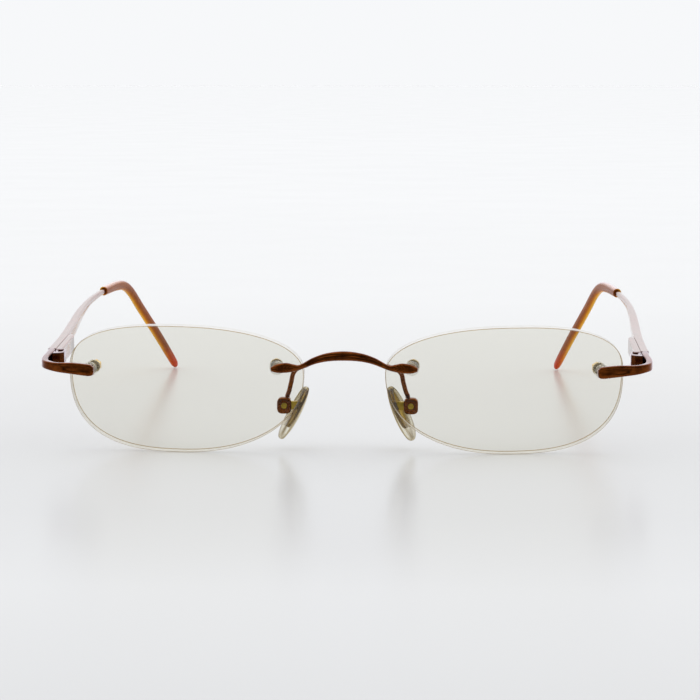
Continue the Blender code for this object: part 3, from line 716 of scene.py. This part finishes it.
def floor_material():
    """Pale gloss board: a soft broad reflection over white. Its tone by depth is painted light and shade: a
    little darker about the object and in front, brighter further back.
    """
    made, tree = new_material("pale_board")
    where = node(tree, "ShaderNodeTexCoord").outputs["Object"]
    y = node(tree, "ShaderNodeSeparateXYZ", {"Vector": where}).outputs["Y"]
    depth = FLOOR_FAR - FLOOR_NEAR
    stops = [((spot - FLOOR_NEAR) / depth, (0.997 * level,) * 3) for spot, level in FLOOR_PAINTED_LIGHT]
    tone = ramp(tree, ranged(tree, y, 0.0, 1.0, FLOOR_NEAR, FLOOR_FAR), *stops)
    cloud = grain(tree, 14.0, detail=2.0)
    shader = node(
        tree,
        "ShaderNodeBsdfPrincipled",
        {
            "Base Color": mixed(tree, ranged(tree, cloud, 0.0, 0.03), tone, (0.7, 0.7, 0.72)),
            "Roughness": ranged(tree, cloud, 0.20, 0.24),
            "IOR": 1.35,
            "Normal": bumped(tree, grain(tree, 900.0), 0.02, 0.00002),
        },
    )
    finish_material(tree, shader.outputs["BSDF"])
    return made


# ---- pieces ---------------------------------------------------------------------------------------------


def lens_outline(count):
    nasal_reach = LENS_WIDTH - LENS_TEMPLE_REACH
    shift_u = LENS_TEMPLE_REACH - LENS_WIDTH / 2
    shift_v = (LENS_UPPER_RISE - LENS_LOWER_DROP) / 2
    points = []
    for i in range(count):
        angle = 2 * math.pi * (i + 0.5) / count
        c, s = math.cos(angle), math.sin(angle)
        powers = UPPER_POWERS if s > 0 else LOWER_POWERS
        power = powers[0] if c > 0 else powers[1]
        reach = LENS_TEMPLE_REACH if c > 0 else nasal_reach
        rise = LENS_UPPER_RISE if s > 0 else LENS_LOWER_DROP
        u = reach * math.copysign(abs(c) ** (2 / power), c) - shift_u
        v = rise * math.copysign(abs(s) ** (2 / power), s) - shift_v
        points.append((u, v))
    return points


def lens_grid(outline):
    """Staggered points inside the outline, clear of the drilled holes."""
    limits = [(min(p[k] for p in outline), max(p[k] for p in outline)) for k in (0, 1)]
    points = []
    for j in range(int((limits[1][1] - limits[1][0]) / LENS_GRID) + 1):
        v = limits[1][0] + LENS_GRID * j
        crossing = []
        for i in range(len(outline)):
            (u0, v0), (u1, v1) = outline[i - 1], outline[i]
            if (v0 > v) != (v1 > v):
                crossing.append(u0 + (u1 - u0) * (v - v0) / (v1 - v0))
        if len(crossing) < 2:
            continue
        u = min(crossing) + 0.5 * LENS_GRID * (j % 2)
        while u < max(crossing):
            if all(math.hypot(u - a, v - b) > HOLE_RADIUS + 0.5 for a, b in LENS_HOLES):
                points.append(Vector((u, v)))
            u += LENS_GRID
    return points


def lens_face(loops):
    """Points and triangles of the drilled face inside its rim loop and outside its hole loops."""
    points = [Vector(p) for loop in loops for p in loop]
    edges, at = [], 0
    for loop in loops:
        edges += [(at + i, at + (i + 1) % len(loop)) for i in range(len(loop))]
        at += len(loop)
    points += lens_grid(inset(loops[0], 0.7))
    found, _, triangles, *_ = delaunay_2d_cdt(points, edges, [], 0, 1e-7, False)
    kept = []
    for triangle in triangles:
        middle = sum((found[k] for k in triangle), Vector((0.0, 0.0))) / len(triangle)
        if all((middle - Vector(hole)).length > HOLE_RADIUS * 0.98 for hole in LENS_HOLES):
            kept.append(list(triangle))
    return found, kept


def add_lens(label, side, looks):
    """Both faces of the lens with its two drilled holes, and a ground edge with polished bevels."""
    rim = lens_outline(288)
    loops = [inset(rim, LENS_CHAMFER)]
    for u, v in LENS_HOLES:
        loops.append([(a, b) for a, _, b in circle(HOLE_RADIUS, 0.0, 40, (u, v))])
    found, triangles = lens_face(loops)
    count = len(found)
    number = {(round(p.x, 5), round(p.y, 5)): k for k, p in enumerate(found)}

    def index_of(point):
        spot = (round(point[0], 5), round(point[1], 5))
        if spot in number:
            return number[spot]
        return min(range(count), key=lambda k: (found[k] - Vector(point)).length)

    shape = Shape()
    for depth in (0.0, LENS_THICK):
        shape.points += [Vector((p.x, depth + lens_sag(p.x, p.y), p.y)) for p in found]
    shape.faces = triangles + [[k + count for k in face] for face in triangles]
    shape.looks = [0] * len(shape.faces)

    def band(row, after, look):
        for i in range(len(row)):
            j = (i + 1) % len(row)
            shape.faces.append([row[i], row[j], after[j], after[i]])
            shape.looks.append(look)

    front, *holes = [[index_of(p) for p in loop] for loop in loops]
    wall = []
    for depth in (LENS_CHAMFER, LENS_THICK - LENS_CHAMFER):
        wall.append(list(range(len(shape.points), len(shape.points) + len(rim))))
        shape.points += [Vector((u, depth + lens_sag(u, v), v)) for u, v in rim]
    band(front, wall[0], 2)
    band(wall[0], wall[1], 1)
    band(wall[1], [k + count for k in front], 2)
    for hole in holes:
        band(hole, [k + count for k in hole], 1)
    shape.marks = [0.0] * len(shape.points)
    look = [looks["lens"], looks["lens_edge"], looks["lens_bevel"]]
    nodes = [f"{label}_lens"]
    piece(f"{label}_lens_glass", shape, look, "front", side, lens_place(), nodes, 25.0)


def add_mount(label, side, hole, looks):
    """Threaded stud, flanged bush, clear washer, plate washer and hexagon nut."""
    place = hole_place(hole)
    flange = -FIT - FLANGE_THICK
    bore = STUD_RADIUS + FIT
    barrel = HOLE_RADIUS - FIT
    bush_end = LENS_THICK - 2 * FIT
    back = LENS_THICK + 2 * FIT

    per_turn, count = 6, 36
    end = flange + STUD_LENGTH
    rings = [[(0.0, flange, 0.0)], circle(STUD_RADIUS, flange, count)]
    for k in range(int((end - back) / THREAD_PITCH * per_turn)):
        y = back + THREAD_PITCH * k / per_turn
        ring = []
        for i in range(count):
            turn = (y / THREAD_PITCH + i / count) % 1.0
            radius = STUD_RADIUS - THREAD_DEPTH * abs(2 * turn - 1) ** 1.5
            angle = 2 * math.pi * i / count
            ring.append((radius * math.cos(angle), y, radius * math.sin(angle)))
        rings.append(ring)
    rings += [circle(0.48, end, count), circle(0.3, end + 0.17, count), [(0.0, end + 0.19, 0.0)]]
    stud = Shape().skin(rings)

    profile = [(bore, flange), (FLANGE_RADIUS, flange), (FLANGE_RADIUS, -FIT)]
    profile += [(barrel, -FIT), (barrel, bush_end), (bore, bush_end)]
    bush = lathe(softened(profile, 0.12, 3), 48, joined=True)
    washer = collar(bore, WASHER_RADIUS, back, back + WASHER_THICK, 0.12)
    start = back + WASHER_THICK + FIT
    plate = collar(bore, PLATE_RADIUS, start, start + PLATE_THICK, 0.08)
    nut = nut_shape(bore, start + PLATE_THICK + FIT)

    for name, shape, look, kind, slot in (
        ("post", stud, "brass", "stud", "brass"),
        ("sleeve", bush, "clear", "bush", "clear_nylon"),
        ("soft_washer", washer, "clear", "washer", "clear_nylon"),
        ("flat_washer", plate, "brass", "plate", "brass"),
        ("hex_nut", nut, "brass", "nut", "brass"),
    ):
        piece(f"{label}_{name}", shape, looks[look], "front", side, place, [f"{label}_{kind}"])


def nut_shape(bore, start):
    """A hexagon nut with turned corners."""
    count = 72
    half = math.pi / 6
    edge = 0.12
    rings = []
    levels = [(0.0, bore), (0.0, 0.98), (edge, 1.3)]
    levels += [(NUT_THICK - edge, 1.3), (NUT_THICK, 0.98), (NUT_THICK, bore)]
    for level, reach in levels:
        ring = []
        for i in range(count):
            angle = 2 * math.pi * i / count
            flat = NUT_CORNERS / 2 * math.cos(half) / math.cos((angle + half) % (2 * half) - half)
            radius = min(flat, reach)
            ring.append((radius * math.cos(angle), start + level, radius * math.sin(angle)))
        rings.append(ring)
    return Shape().skin(rings, joined=True)


def leaf_lines(start, length, half, veins=5):
    """Vein lines of a leaf along a bar: a middle rib and slanted side veins."""
    lines = [[(start, 0.0), (start + length, 0.0)]]
    step = length / veins
    for k in range(veins):
        s = start + length * (0.12 + 0.78 * k / veins)
        spread = half * (0.85 - 0.3 * abs(2 * (k + 0.5) / veins - 1))
        for up in (-1, 1):
            lines.append([(s, 0.0), (s + 0.35 * step, 0.5 * up * spread), (s + 0.95 * step, up * spread)])
    return lines


def streak_lines(start, end, levels, wave, turns):
    """Long flowing lines along a bar at several heights."""
    lines = []
    for k, level in enumerate(levels):
        line = []
        for i in range(25):
            t = i / 24
            lift = wave * math.sin(2 * math.pi * (turns * t + 0.37 * k))
            fade = math.sin(math.pi * (0.08 + 0.84 * t)) ** 0.5
            line.append((start + (end - start) * t, (level + lift) * fade))
        lines.append(line)
    return lines


def add_bridge(looks):
    """Leaf lugs and arch in one bar, with veins engraved on the front."""
    lug_points = ((1.25, -1.05, -0.12), (0.0, -1.05, 0.0), (-1.9, -1.05, 0.16))
    tip, hole, mid = frame_route(hole_place(NASAL_HOLE), *lug_points)
    half = [
        (*tip, 0.8, 0.9),
        (*hole, 1.1, 1.85),
        (*mid, 1.15, 2.15),
        (10.9, mid.y - 0.1, 19.1, 1.1, 1.65),
        (9.3, mid.y - 0.3, 19.3, 1.05, 1.1),
        (6.3, mid.y - 0.9, 20.75, 1.15, 1.5),
        (3.4, mid.y - 1.4, 21.6, 1.25, 1.85),
        (0.0, mid.y - 1.6, 21.9, 1.3, 2.05),
    ]
    other = [(-row[0], *row[1:]) for row in half[-2::-1]]
    rows = smooth_rows(half + other, 26)
    length = sum((Vector(b[:3]) - Vector(a[:3])).length for a, b in zip(rows, rows[1:]))
    lines = leaf_lines(0.3, 4.4, 0.8) + leaf_lines(length - 0.3, -4.4, 0.8)
    middle = length / 2
    lines += streak_lines(middle - 8.2, middle + 8.2, (-0.42, -0.14, 0.16, 0.44), 0.1, 1.5)
    rings, marks = routed(rows, 64, (2.4, 2.4, 1.0), grooves(lines, 0.17, 0.08), ends=(0.1, 0.1))
    bar = Shape().skin(rings, marks=marks)
    piece("bridge_bar", bar, looks["copper"], "front", 1, None, ["bridge"])


def add_endpiece(label, side, looks):
    bar_points = ((-1.25, -1.24, -0.1), (0.0, -1.24, 0.0), (3.6, -1.24, 0.15))
    inner, hole, mid = frame_route(hole_place(OUTER_HOLE), *bar_points)
    butt_y = PIN[1] + BUTT_Y - FIT
    rows = [
        (*inner, 1.1, 1.7),
        (inner.x + 0.5, inner.y + 0.1, inner.z + 0.03, 1.45, 2.35),
        (*hole, 1.5, 2.6),
        (*mid, 1.5, 2.5),
        (62.3, 2.9, 18.45, 1.5, 2.05),
        (64.8, 4.3, 18.85, 1.5, 1.8),
        (LEG_X + 0.35, 7.0, 19.15, 1.5, 2.2),
        (LEG_X + 0.05, 10.2, 19.25, 1.6, 3.1),
        (LEG_X, butt_y, 19.35, 1.7, 3.7),
    ]
    rows = smooth_rows(rows, 20)
    lines = [[(0.2 + 0.5 * k, 0.42 + 0.16 * math.sin(0.32 * k)) for k in range(15)]]
    lines += streak_lines(0.6, 6.8, (-0.55, -0.2, 0.1), 0.12, 1.0)
    carve = grooves(lines, 0.15, 0.07)

    def front_only(s, b, across):
        return carve(s, b, -across)

    rings, marks = routed(rows, 64, (5.0, 5.0, 1.0), front_only, ends=(0.12, 0.0))
    rings[-1] = [Vector((p.x, butt_y, p.z)) for p in rings[-1]]
    shape = Shape().skin(rings, marks=marks)
    piece(f"{label}_end_bar", shape, looks["copper"], "front", side, None, [f"{label}_endpiece"])


def add_hinge_leaf(label, side, looks):
    """Two ears in one block inside the endpiece's leg, with the slot for the slider's eye."""
    place = pin_place()
    outline = [(HOUSING_OUTER, -3.2), (HOUSING_OUTER, 0.55)]
    for i in range(25):
        angle = math.radians(35 + 145 * i / 24)
        outline.append((EAR_RADIUS * math.cos(angle), EAR_RADIUS * math.sin(angle)))
    outline += [(-EAR_RADIUS, -2.3), (-0.3, -3.2)]
    block = slab(outline, -EAR_HEIGHT / 2, EAR_HEIGHT / 2, 0.07, along_z)
    nodes = [f"{label}_hinge_leaf"]
    leaf = piece(f"{label}_leaf", block, looks["copper_painted_shade"], "front", side, place, nodes)
    gap = EYE_HEIGHT / 2 + 0.05
    slot = rectangle(-2.5, HOUSING_OUTER + 0.5, -EAR_RADIUS - 0.15, 2.5)
    cut(leaf, prism(slot, -gap, gap, along_z), side, place)
    cut(leaf, upright(drill(PIN_RADIUS + FIT)), side, place)


def add_hinge_screw(label, side, looks):
    place = pin_place()
    end = -EAR_HEIGHT / 2
    head = EAR_HEIGHT / 2 + FIT
    top = head + PIN_HEAD_HEIGHT
    profile = [(0, top), (PIN_HEAD_RADIUS - 0.12, top), (PIN_HEAD_RADIUS, top - 0.11)]
    profile += [(PIN_HEAD_RADIUS, head), (PIN_RADIUS, head), (PIN_RADIUS, end), (0, end)]
    bolt = upright(lathe(softened(profile, 0.06, 3, closed=False), 40))
    nodes = [f"{label}_hinge_screw"]
    body = f"{label}_hinge_pin"
    screw = piece(f"{label}_hinge_bolt", bolt, looks["copper_painted_shade"], body, side, place, nodes)
    slot = rectangle(-1.0, 1.0, -SCREW_SLOT / 2, SCREW_SLOT / 2)
    cut(screw, prism(slot, head + 0.12, head + 1.0, along_z), side, place)


def add_housing(label, side, looks):
    """The spring box: well rounded on its inner side, sharper along the temple bar, sloped at its rear."""
    half = HOUSING_HEIGHT / 2
    corners = rectangle(HOUSING_INNER, HOUSING_OUTER, -half, half)
    section = [p for p in softened(corners, 0.35, 6) if p[0] < HOUSING_OUTER - 0.5]
    section += softened(corners, 0.06, 2)[3:9]
    section.sort(key=lambda p: math.atan2(p[1], p[0] - ROD_X))
    section = spaced(section, 0.3)
    angles = [math.atan2(y, x - ROD_X) for x, y in section]
    bore = [(ROD_X + BORE_RADIUS * math.cos(a), BORE_RADIUS * math.sin(a)) for a in angles]
    rings = [[(ROD_X, BORE_END, 0.0)]]
    for outline, y in (
        (bore, BORE_END),
        (bore, HOUSING_FRONT + 0.05),
        (inset(section, 0.07), HOUSING_FRONT),
        (section, HOUSING_FRONT + 0.07),
    ):
        rings.append([(x, y, z) for x, z in outline])
    slope = HOUSING_OUTER - HOUSING_EDGE - HOUSING_INNER
    for k in range(13):
        t = k / 12
        y = HOUSING_BACK - REAR_CHAMFER + REAR_CHAMFER * t
        inner = HOUSING_INNER + slope * t**1.3
        rings.append([(max(x, inner), y, z * (1 - 0.08 * t**2)) for x, z in section])
    body, nodes = f"{label}_temple", [f"{label}_spring_housing"]
    box = Shape().skin(rings)
    piece(f"{label}_housing", box, looks["copper_painted_sheen"], body, side, pin_place(), nodes)


def temple_rows():
    x = LEG_X
    return [
        (x, PIN[1] + BUTT_Y + FIT, 19.35, 1.7, 3.7),
        (x + 0.05, 22.0, 19.95, 1.75, 3.55),
        (x + 0.17, 31.0, 20.75, 1.95, 3.2),
        (x + 0.75, 44.0, 22.05, 2.0, 2.5),
        (x + 1.45, 60.0, 23.8, 1.8, 1.9),
        (x + 1.5, 74.0, 25.1, 1.5, 1.55),
        (x + 0.7, 86.0, 25.95, 1.25, 1.3),
        (x - 0.15, 93.0, 26.3, 1.05, 1.1),
        (x - 1.23, 100.0, 26.5, 0.9, 0.95),
    ]


def tip_rows():
    x = LEG_X
    return [
        (x + 0.3, 90.0, 26.18, 2.1, 2.25),
        (x - 0.15, 93.0, 26.3, 2.15, 2.35),
        (x - 1.23, 100.0, 26.5, 2.05, 2.5),
        (x - 2.4, 106.0, 26.1, 2.0, 2.6),
        (x - 3.6, 111.0, 24.0, 1.9, 2.65),
        (x - 5.4, 117.5, 18.9, 1.85, 2.7),
        (x - 8.8, 128.0, 10.0, 1.85, 2.7),
        (x - 11.6, 136.4, 2.35, 1.75, 2.4),
        (x - 12.2, 138.0, 0.72, 1.2, 1.5),
    ]


def add_temple(label, side, looks):
    rows = smooth_rows(temple_rows(), 16)
    rings, marks = routed(rows, 56, (14.0, 2.8, 0.6))
    front = PIN[1] + BUTT_Y + FIT
    rings[0] = [Vector((p.x, front, p.z)) for p in rings[0]]
    body = f"{label}_temple"
    bar = Shape().skin(rings, marks=marks)
    piece(f"{label}_temple_bar", bar, looks["copper_painted_sheen"], body, side, None, [f"{label}_temple"])


def add_tip(label, side, looks):
    """The plastic sleeve, bored for the end of the temple bar. Its mark grows from its inner side out."""
    rows = smooth_rows(tip_rows(), 16)
    outer, _ = routed(rows, 56, (2.2, 2.2, 1.0))
    section = np.array(rounded_section(1.0, 1.0, 2.2, 56))
    # The mark across the sleeve drives its painted light through the acetate: dark at the inner side, bright
    # orange at the outer.
    marks = [list(0.5 + section[:, 0]) for _ in outer]
    core = [row for row in smooth_rows(temple_rows(), 16) if row[1] > 90.6]
    mouth = tip_rows()[0]
    first = [mouth[0], mouth[1], mouth[2], core[0][3], core[0][4]]
    past = [2 * a - b for a, b in zip(core[-1][:3], core[-2][:3])] + core[-1][3:]
    bore_rows = [[*row[:3], row[3] + 0.3, row[4] + 0.3] for row in [first, *core, past]]
    bore, bore_marks = routed(bore_rows, 56, (2.2, 2.2, 1.0))
    lip = [p.lerp(q, 0.18) for p, q in zip(outer[0], bore[0])]
    outer[0] = [p + (outer[1][k] - p) * 0.25 for k, p in enumerate(outer[0])]
    rings = bore[::-1] + [lip] + outer
    marks = bore_marks[::-1] + [marks[0]] + marks
    tip = Shape().skin(rings, marks=marks)
    body, nodes = f"{label}_temple", [f"{label}_temple_tip"]
    piece(f"{label}_tip_sleeve", tip, looks["tortoise"], body, side, None, nodes, 50.0)


def add_pad_arm(label, side, looks):
    x, y, z = PAD_SCREW[side]
    top = z + PAD_BOX[2] / 2 + FIT
    shift = x - (PAD_SCREW[1][0] + PAD_SCREW[-1][0]) / 2
    rows = [
        (7.6, -0.75, 19.95),
        (7.6, 0.8, 19.8),
        (7.7, 2.7, 19.45),
        (8.5, 3.85, 18.9),
        (10.3 + 0.5 * shift, 4.25, 18.3),
        (11.6 + shift, 4.4, 17.2),
        (12.1 + shift, 4.7, 15.2),
        (12.6 + shift, 5.6, 13.2),
        (x - 0.7, y, top + 0.4),
        (x - 0.7, y, top),
    ]
    rings = wire(smooth_rows(rows, 10), ARM_RADIUS)
    rings[-1] = [Vector((p.x, p.y, top)) for p in rings[-1]]
    arm = Shape().skin(rings)
    piece(f"{label}_pad_wire", arm, looks["copper_wire"], "front", side, None, [f"{label}_pad_arm"])


def pad_outline(length, width, count):
    points = []
    for i in range(count):
        angle = 2 * math.pi * i / count
        c, s = math.cos(angle), math.sin(angle)
        points.append((0.5 * width * (1.0 - 0.12 * s) * c, 0.5 * length * s))
    return points


def add_pad_box(label, side, looks):
    """The holder at the arm's end: a dished front round the screw, and a mouth at the back for the lug."""
    width, depth, height = PAD_BOX
    place = screw_place(side)
    front, back = -depth / 2, depth / 2
    square = softened(rectangle(-width / 2, width / 2, -height / 2, height / 2), 1.2, 8)
    angles = [math.atan2(b, a) for a, b in square]

    def ring(radius, y):
        return [(radius * math.cos(a), y, radius * math.sin(a)) for a in angles]

    rings = [ring(0.45, front + PAD_HEAD_SEAT), ring(0.78, front + PAD_HEAD_SEAT)]
    rings += [ring(0.8, front + 0.08), ring(0.88, front)]
    for share, y in (
        (0.3, front),
        (0.12, front + 0.1),
        (0.0, front + 0.3),
        (0.0, back - 0.3),
        (0.12, back - 0.1),
        (0.3, back),
    ):
        rings.append([(a, y, b) for a, b in (inset(square, share) if share else square)])
    rings.append(ring(0.45, back))
    shape = Shape().skin(rings, joined=True)
    nodes = [f"{label}_pad_box"]
    box = piece(f"{label}_pad_holder", shape, looks["copper_wire"], "front", side, place, nodes)
    cut(box, prism(rectangle(-3.0, 0.85, -1.3, 1.3), -0.55, 3.0, along_y), side, place)


def add_pad_screw(label, side, looks):
    place = screw_place(side)
    end = PAD_BOX[1] / 2
    head = -end + PAD_HEAD_SEAT + FIT
    seat = head - FIT
    profile = [(0, head - 0.3), (PAD_HEAD_RADIUS - 0.08, head - 0.3), (PAD_HEAD_RADIUS, head - 0.2)]
    profile += [(PAD_HEAD_RADIUS, seat), (PAD_SHANK_RADIUS, seat), (PAD_SHANK_RADIUS, end), (0, end)]
    bolt = lathe(softened(profile, 0.07, 3, closed=False), 40)
    nodes = [f"{label}_pad_screw"]
    screw = piece(f"{label}_pad_bolt", bolt, looks["insert"], "front", side, place, nodes)
    slot = rectangle(-1.0, 1.0, -0.08, 0.08)
    cut(screw, prism(slot, -3.0, head - 0.16, along_y), side, place)


def add_insert(label, side, looks):
    """The plate inside the cushion, and the lug that the pad holder grips."""
    place = pad_place(side)
    half = INSERT_THICK / 2
    outline = [(a, b + INSERT_RISE) for a, b in pad_outline(INSERT_LENGTH, INSERT_WIDTH, 64)]
    plate = slab(outline, -half, half, 0.1, along_x)
    nodes = [f"{label}_pad_insert"]
    insert = piece(f"{label}_insert", plate, looks["insert"], f"{label}_pad", side, place, nodes)
    screw = screw_place(side)
    normal = place.to_3x3() @ Vector((1.0, 0.0, 0.0))
    clear_of = (screw.translation - place.translation).dot(normal)
    end, thick, high = LUG_SIZE
    section = softened(rectangle(-thick / 2, thick / 2, -high / 2, high / 2), 0.12, 3)
    foot = [(-(clear_of + normal.y * y + normal.z * z) / normal.x, y, z) for y, z in section]
    rings = [foot]
    for k in range(7):
        angle = 0.5 * math.pi * k / 6
        x = end - 0.55 + 0.55 * math.sin(angle)
        share = 0.55 + 0.45 * math.cos(angle)
        rings.append([(x, y, z * share) for y, z in section])
    cut(insert, Shape().skin(rings), side, screw, "UNION")
    cut(insert, drill(0.44), side, screw)


def add_cushion(label, side, looks):
    """The clear cushion: domed to the nose, with a soft edge and the pocket round the insert."""
    place = pad_place(side)
    count = 72
    outline = pad_outline(PAD_LENGTH, PAD_WIDTH, count)
    nose, back = -PAD_THICK / 2, PAD_THICK / 2
    shares = [(nose, 0.0)]
    for k in range(1, 13):
        share = k / 12
        shares.append((nose + 0.85 * share**2.6, share * 0.97))
    shares += [(nose + 1.05, 0.993), (nose + 1.3, 1.0), (back - 0.5, 0.995)]
    shares += [(back - 0.25, 0.97), (back - 0.08, 0.92), (back, 0.85)]
    pocket = pad_outline(INSERT_LENGTH + 0.2, INSERT_WIDTH + 0.2, count)
    pocket = [(a, b + INSERT_RISE) for a, b in pocket]
    half = INSERT_THICK / 2 + FIT
    rings = []
    for level, share in shares:
        ring = [(level, a * share, b * share) for a, b in outline]
        rings.append(ring[:1] if share == 0 else ring)
    lines = [0.0] * 11 + [0.5, 1.0, 1.0, 0.1, 0.1, 0.9, 1.0, 0.8, 0.0, 0.6, 0.8, 0.0, 0.0]
    rings.append([(back, a, b) for a, b in inset(pocket, -0.08)])
    rings.append([(back - 0.08, a, b) for a, b in pocket])
    rings.append([(-half, a, b) for a, b in pocket])
    for share in (0.6, 0.0):
        ring = [(-half, a * share, INSERT_RISE + (b - INSERT_RISE) * share) for a, b in pocket]
        rings.append(ring if share else ring[:1])
    marks = []
    for ring, line in zip(rings, lines):
        marks.append([line * (0.78 + 0.44 * b / PAD_LENGTH) for _, _, b in ring])
    shape = Shape().skin(rings, marks=marks)
    body, nodes = f"{label}_pad", [f"{label}_pad_cushion"]
    look = looks["silicone"]
    cushion = piece(f"{label}_cushion", shape, look, body, side, place, nodes, 40.0)


def dress_inner_nodes(nodes, looks):
    """Materials for the CAD pieces of the spring box, most of which it hides."""
    kinds = {"hinge_slider": "steel", "spring": "steel", "spring_stop": "brass", "housing_collar": "brass"}
    for label, _ in SIDES:
        for kind, look in kinds.items():
            target = nodes[f"{label}_{kind}"]
            target.data.materials.clear()
            target.data.materials.append(looks[look])


def squeeze_springs(nodes):
    """Gives each spring its own copy of its mesh."""
    for label, side in SIDES:
        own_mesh(nodes[f"{label}_spring"])


# ---- floor, light and camera ----------------------------------------------------------------------------


def add_floor():
    mesh = bmesh.new()
    bmesh.ops.create_grid(mesh, x_segments=8, y_segments=8, size=1.0)
    bmesh.ops.scale(mesh, vec=(9.0, 9.0, 1.0), verts=mesh.verts)
    bmesh.ops.translate(mesh, vec=(0.0, 7.0, 0.0), verts=mesh.verts)
    data = bpy.data.meshes.new("board")
    mesh.to_mesh(data)
    mesh.free()
    data.materials.append(floor_material())
    board = bpy.data.objects.new("board", data)
    bpy.context.scene.collection.objects.link(board)


def add_light(name, location, target, panel):
    data = bpy.data.lights.new(name, "AREA")
    data.shape = "RECTANGLE"
    data.size, data.size_y = panel["size"]
    data.energy = panel["power"]
    made = bpy.data.objects.new(name, data)
    made.location = location
    made.rotation_euler = (Vector(target) - Vector(location)).to_track_quat("-Z", "Y").to_euler()
    bpy.context.scene.collection.objects.link(made)


def set_world():
    """A white tent: bright behind and overhead, dark low down on the viewer's side."""
    world = bpy.data.worlds.new("tent")
    world.use_nodes = True
    tree = world.node_tree
    tree.nodes.clear()
    where = node(tree, "ShaderNodeTexCoord").outputs["Generated"]
    parts = node(tree, "ShaderNodeSeparateXYZ", {"Vector": where})
    height, depth = parts.outputs["Z"], parts.outputs["Y"]
    raised = math_of(tree, "MULTIPLY_ADD", height, 1.2, depth)
    open_sky = ranged(tree, raised, 0.0, 1.0, -0.55, 0.45)
    stops = ((0.0, (0.13, 0.13, 0.135)), (0.35, (0.26, 0.26, 0.27)), (1.0, (0.93, 0.94, 0.955)))
    tone = ramp(tree, open_sky, *stops)
    high = ranged(tree, height, 1.0, OVERHEAD, 0.12, 0.5)
    shade = node(tree, "ShaderNodeBackground", {"Color": tone, "Strength": high})
    out = node(tree, "ShaderNodeOutputWorld")
    tree.links.new(shade.outputs[0], out.inputs["Surface"])
    bpy.context.scene.world = world


def add_camera():
    eye = Vector(EYE) * MM
    target = Vector(TARGET) * MM
    data = bpy.data.cameras.new("camera")
    data.sensor_width = 36.0
    data.lens = CAMERA_LENS
    data.clip_start = 0.01
    data.clip_end = 100.0
    made = bpy.data.objects.new("camera", data)
    made.location = eye
    made.rotation_mode = "QUATERNION"
    made.rotation_quaternion = (target - eye).to_track_quat("-Z", "Y")
    bpy.context.scene.collection.objects.link(made)
    bpy.context.scene.camera = made


def make_looks():
    groove = (0.012, 0.003, 0.001)
    return {
        "copper": metal(
            "antique_copper", (0.11, 0.027, 0.005), (0.25, 0.066, 0.011), groove, (0.12, 1, 1), low_gloss=1.5
        ),
        "copper_wire": metal("antique_copper_wire", (0.14, 0.037, 0.004), (0.24, 0.070, 0.008), groove),
        # Painted sheen: a paler, pinker copy of the copper for the temples and spring boxes, standing in for
        # the bright tent reflected on their tops and inner faces; the drawn lines along them are real.
        "copper_painted_sheen": metal(
            "antique_copper_drawn_painted_sheen",
            (0.30, 0.14, 0.11),
            (0.42, 0.22, 0.19),
            groove,
            (1, 0.08, 1),
            rough=(0.14, 0.24),
            coat=1.0,
        ),
        # Painted shade: a darker copy of the copper for the hinge block, seen in shade inside the endpiece's
        # bend, and for its screw.
        "copper_painted_shade": metal(
            "antique_copper_painted_shade", (0.08, 0.020, 0.004), (0.14, 0.036, 0.006), groove, low_gloss=1.5
        ),
        "brass": metal(
            "polished_brass",
            (0.90, 0.58, 0.20),
            (1.0, 0.82, 0.42),
            (0.12, 0.06, 0.015),
            rough=(0.2, 0.34),
            coat=0.2,
        ),
        "steel": metal(
            "spring_steel",
            (0.36, 0.36, 0.37),
            (0.55, 0.55, 0.57),
            (0.1, 0.1, 0.1),
            rough=(0.2, 0.34),
            coat=0.1,
        ),
        "insert": metal(
            "insert_plate", (0.52, 0.36, 0.03), (0.72, 0.52, 0.08), (0.08, 0.05, 0.02), rough=(0.3, 0.45)
        ),
        "clear": clear(
            "clear_nylon", (0.98, 0.98, 0.96), (0.95, 0.94, 0.90), (0.80, 0.72, 0.55), 0.18, edge_power=3.0
        ),
        "silicone": clear(
            "clear_silicone",
            (1.0, 0.995, 0.96),
            (1.0, 1.0, 0.97),
            (0.60, 0.47, 0.10),
            0.05,
            edge_power=3.0,
            lined=(0.30, 0.20, 0.015),
        ),
        "lens": clear(
            "tinted_lens",
            (0.932, 0.926, 0.895),
            (0.7, 0.68, 0.6),
            (0.8, 0.78, 0.70),
            0.0,
            gloss=0.02,
            ior=1.3,
            grain_size=90.0,
        ),
        "lens_edge": clear(
            "lens_edge", (0.96, 0.95, 0.93), (0.93, 0.92, 0.90), (0.90, 0.88, 0.85), 0.5, gloss=0.12
        ),
        "lens_bevel": clear(
            "lens_bevel", (0.66, 0.55, 0.38), (0.55, 0.43, 0.26), (0.62, 0.50, 0.34), 0.35, gloss=0.15
        ),
        "tortoise": tortoise("tortoise_acetate"),
    }


def main():
    scene = bpy.context.scene
    scene.view_settings.view_transform = "Standard"
    add_camera()
    set_world()
    add_floor()
    add_light("softbox_top", (0.0, 0.25, 0.9), (0.0, 0.0, 0.0), SOFTBOX)
    add_light("strip_left", (-0.8, -0.1, 0.45), (0.0, 0.0, 0.02), STRIP)
    add_light("strip_right", (0.8, -0.1, 0.45), (0.0, 0.0, 0.02), STRIP)
    looks = make_looks()
    add_bridge(looks)
    for label, side in SIDES:
        add_lens(label, side, looks)
        add_mount(f"{label}_outer", side, OUTER_HOLE, looks)
        add_mount(f"{label}_nasal", side, NASAL_HOLE, looks)
        add_endpiece(label, side, looks)
        add_hinge_leaf(label, side, looks)
        add_hinge_screw(label, side, looks)
        add_housing(label, side, looks)
        add_temple(label, side, looks)
        add_tip(label, side, looks)
        add_pad_arm(label, side, looks)
        add_pad_box(label, side, looks)
        add_pad_screw(label, side, looks)
        add_insert(label, side, looks)
        add_cushion(label, side, looks)
    dress_inner_nodes(frame["nodes"], looks)
    squeeze_springs(frame["nodes"])


main()
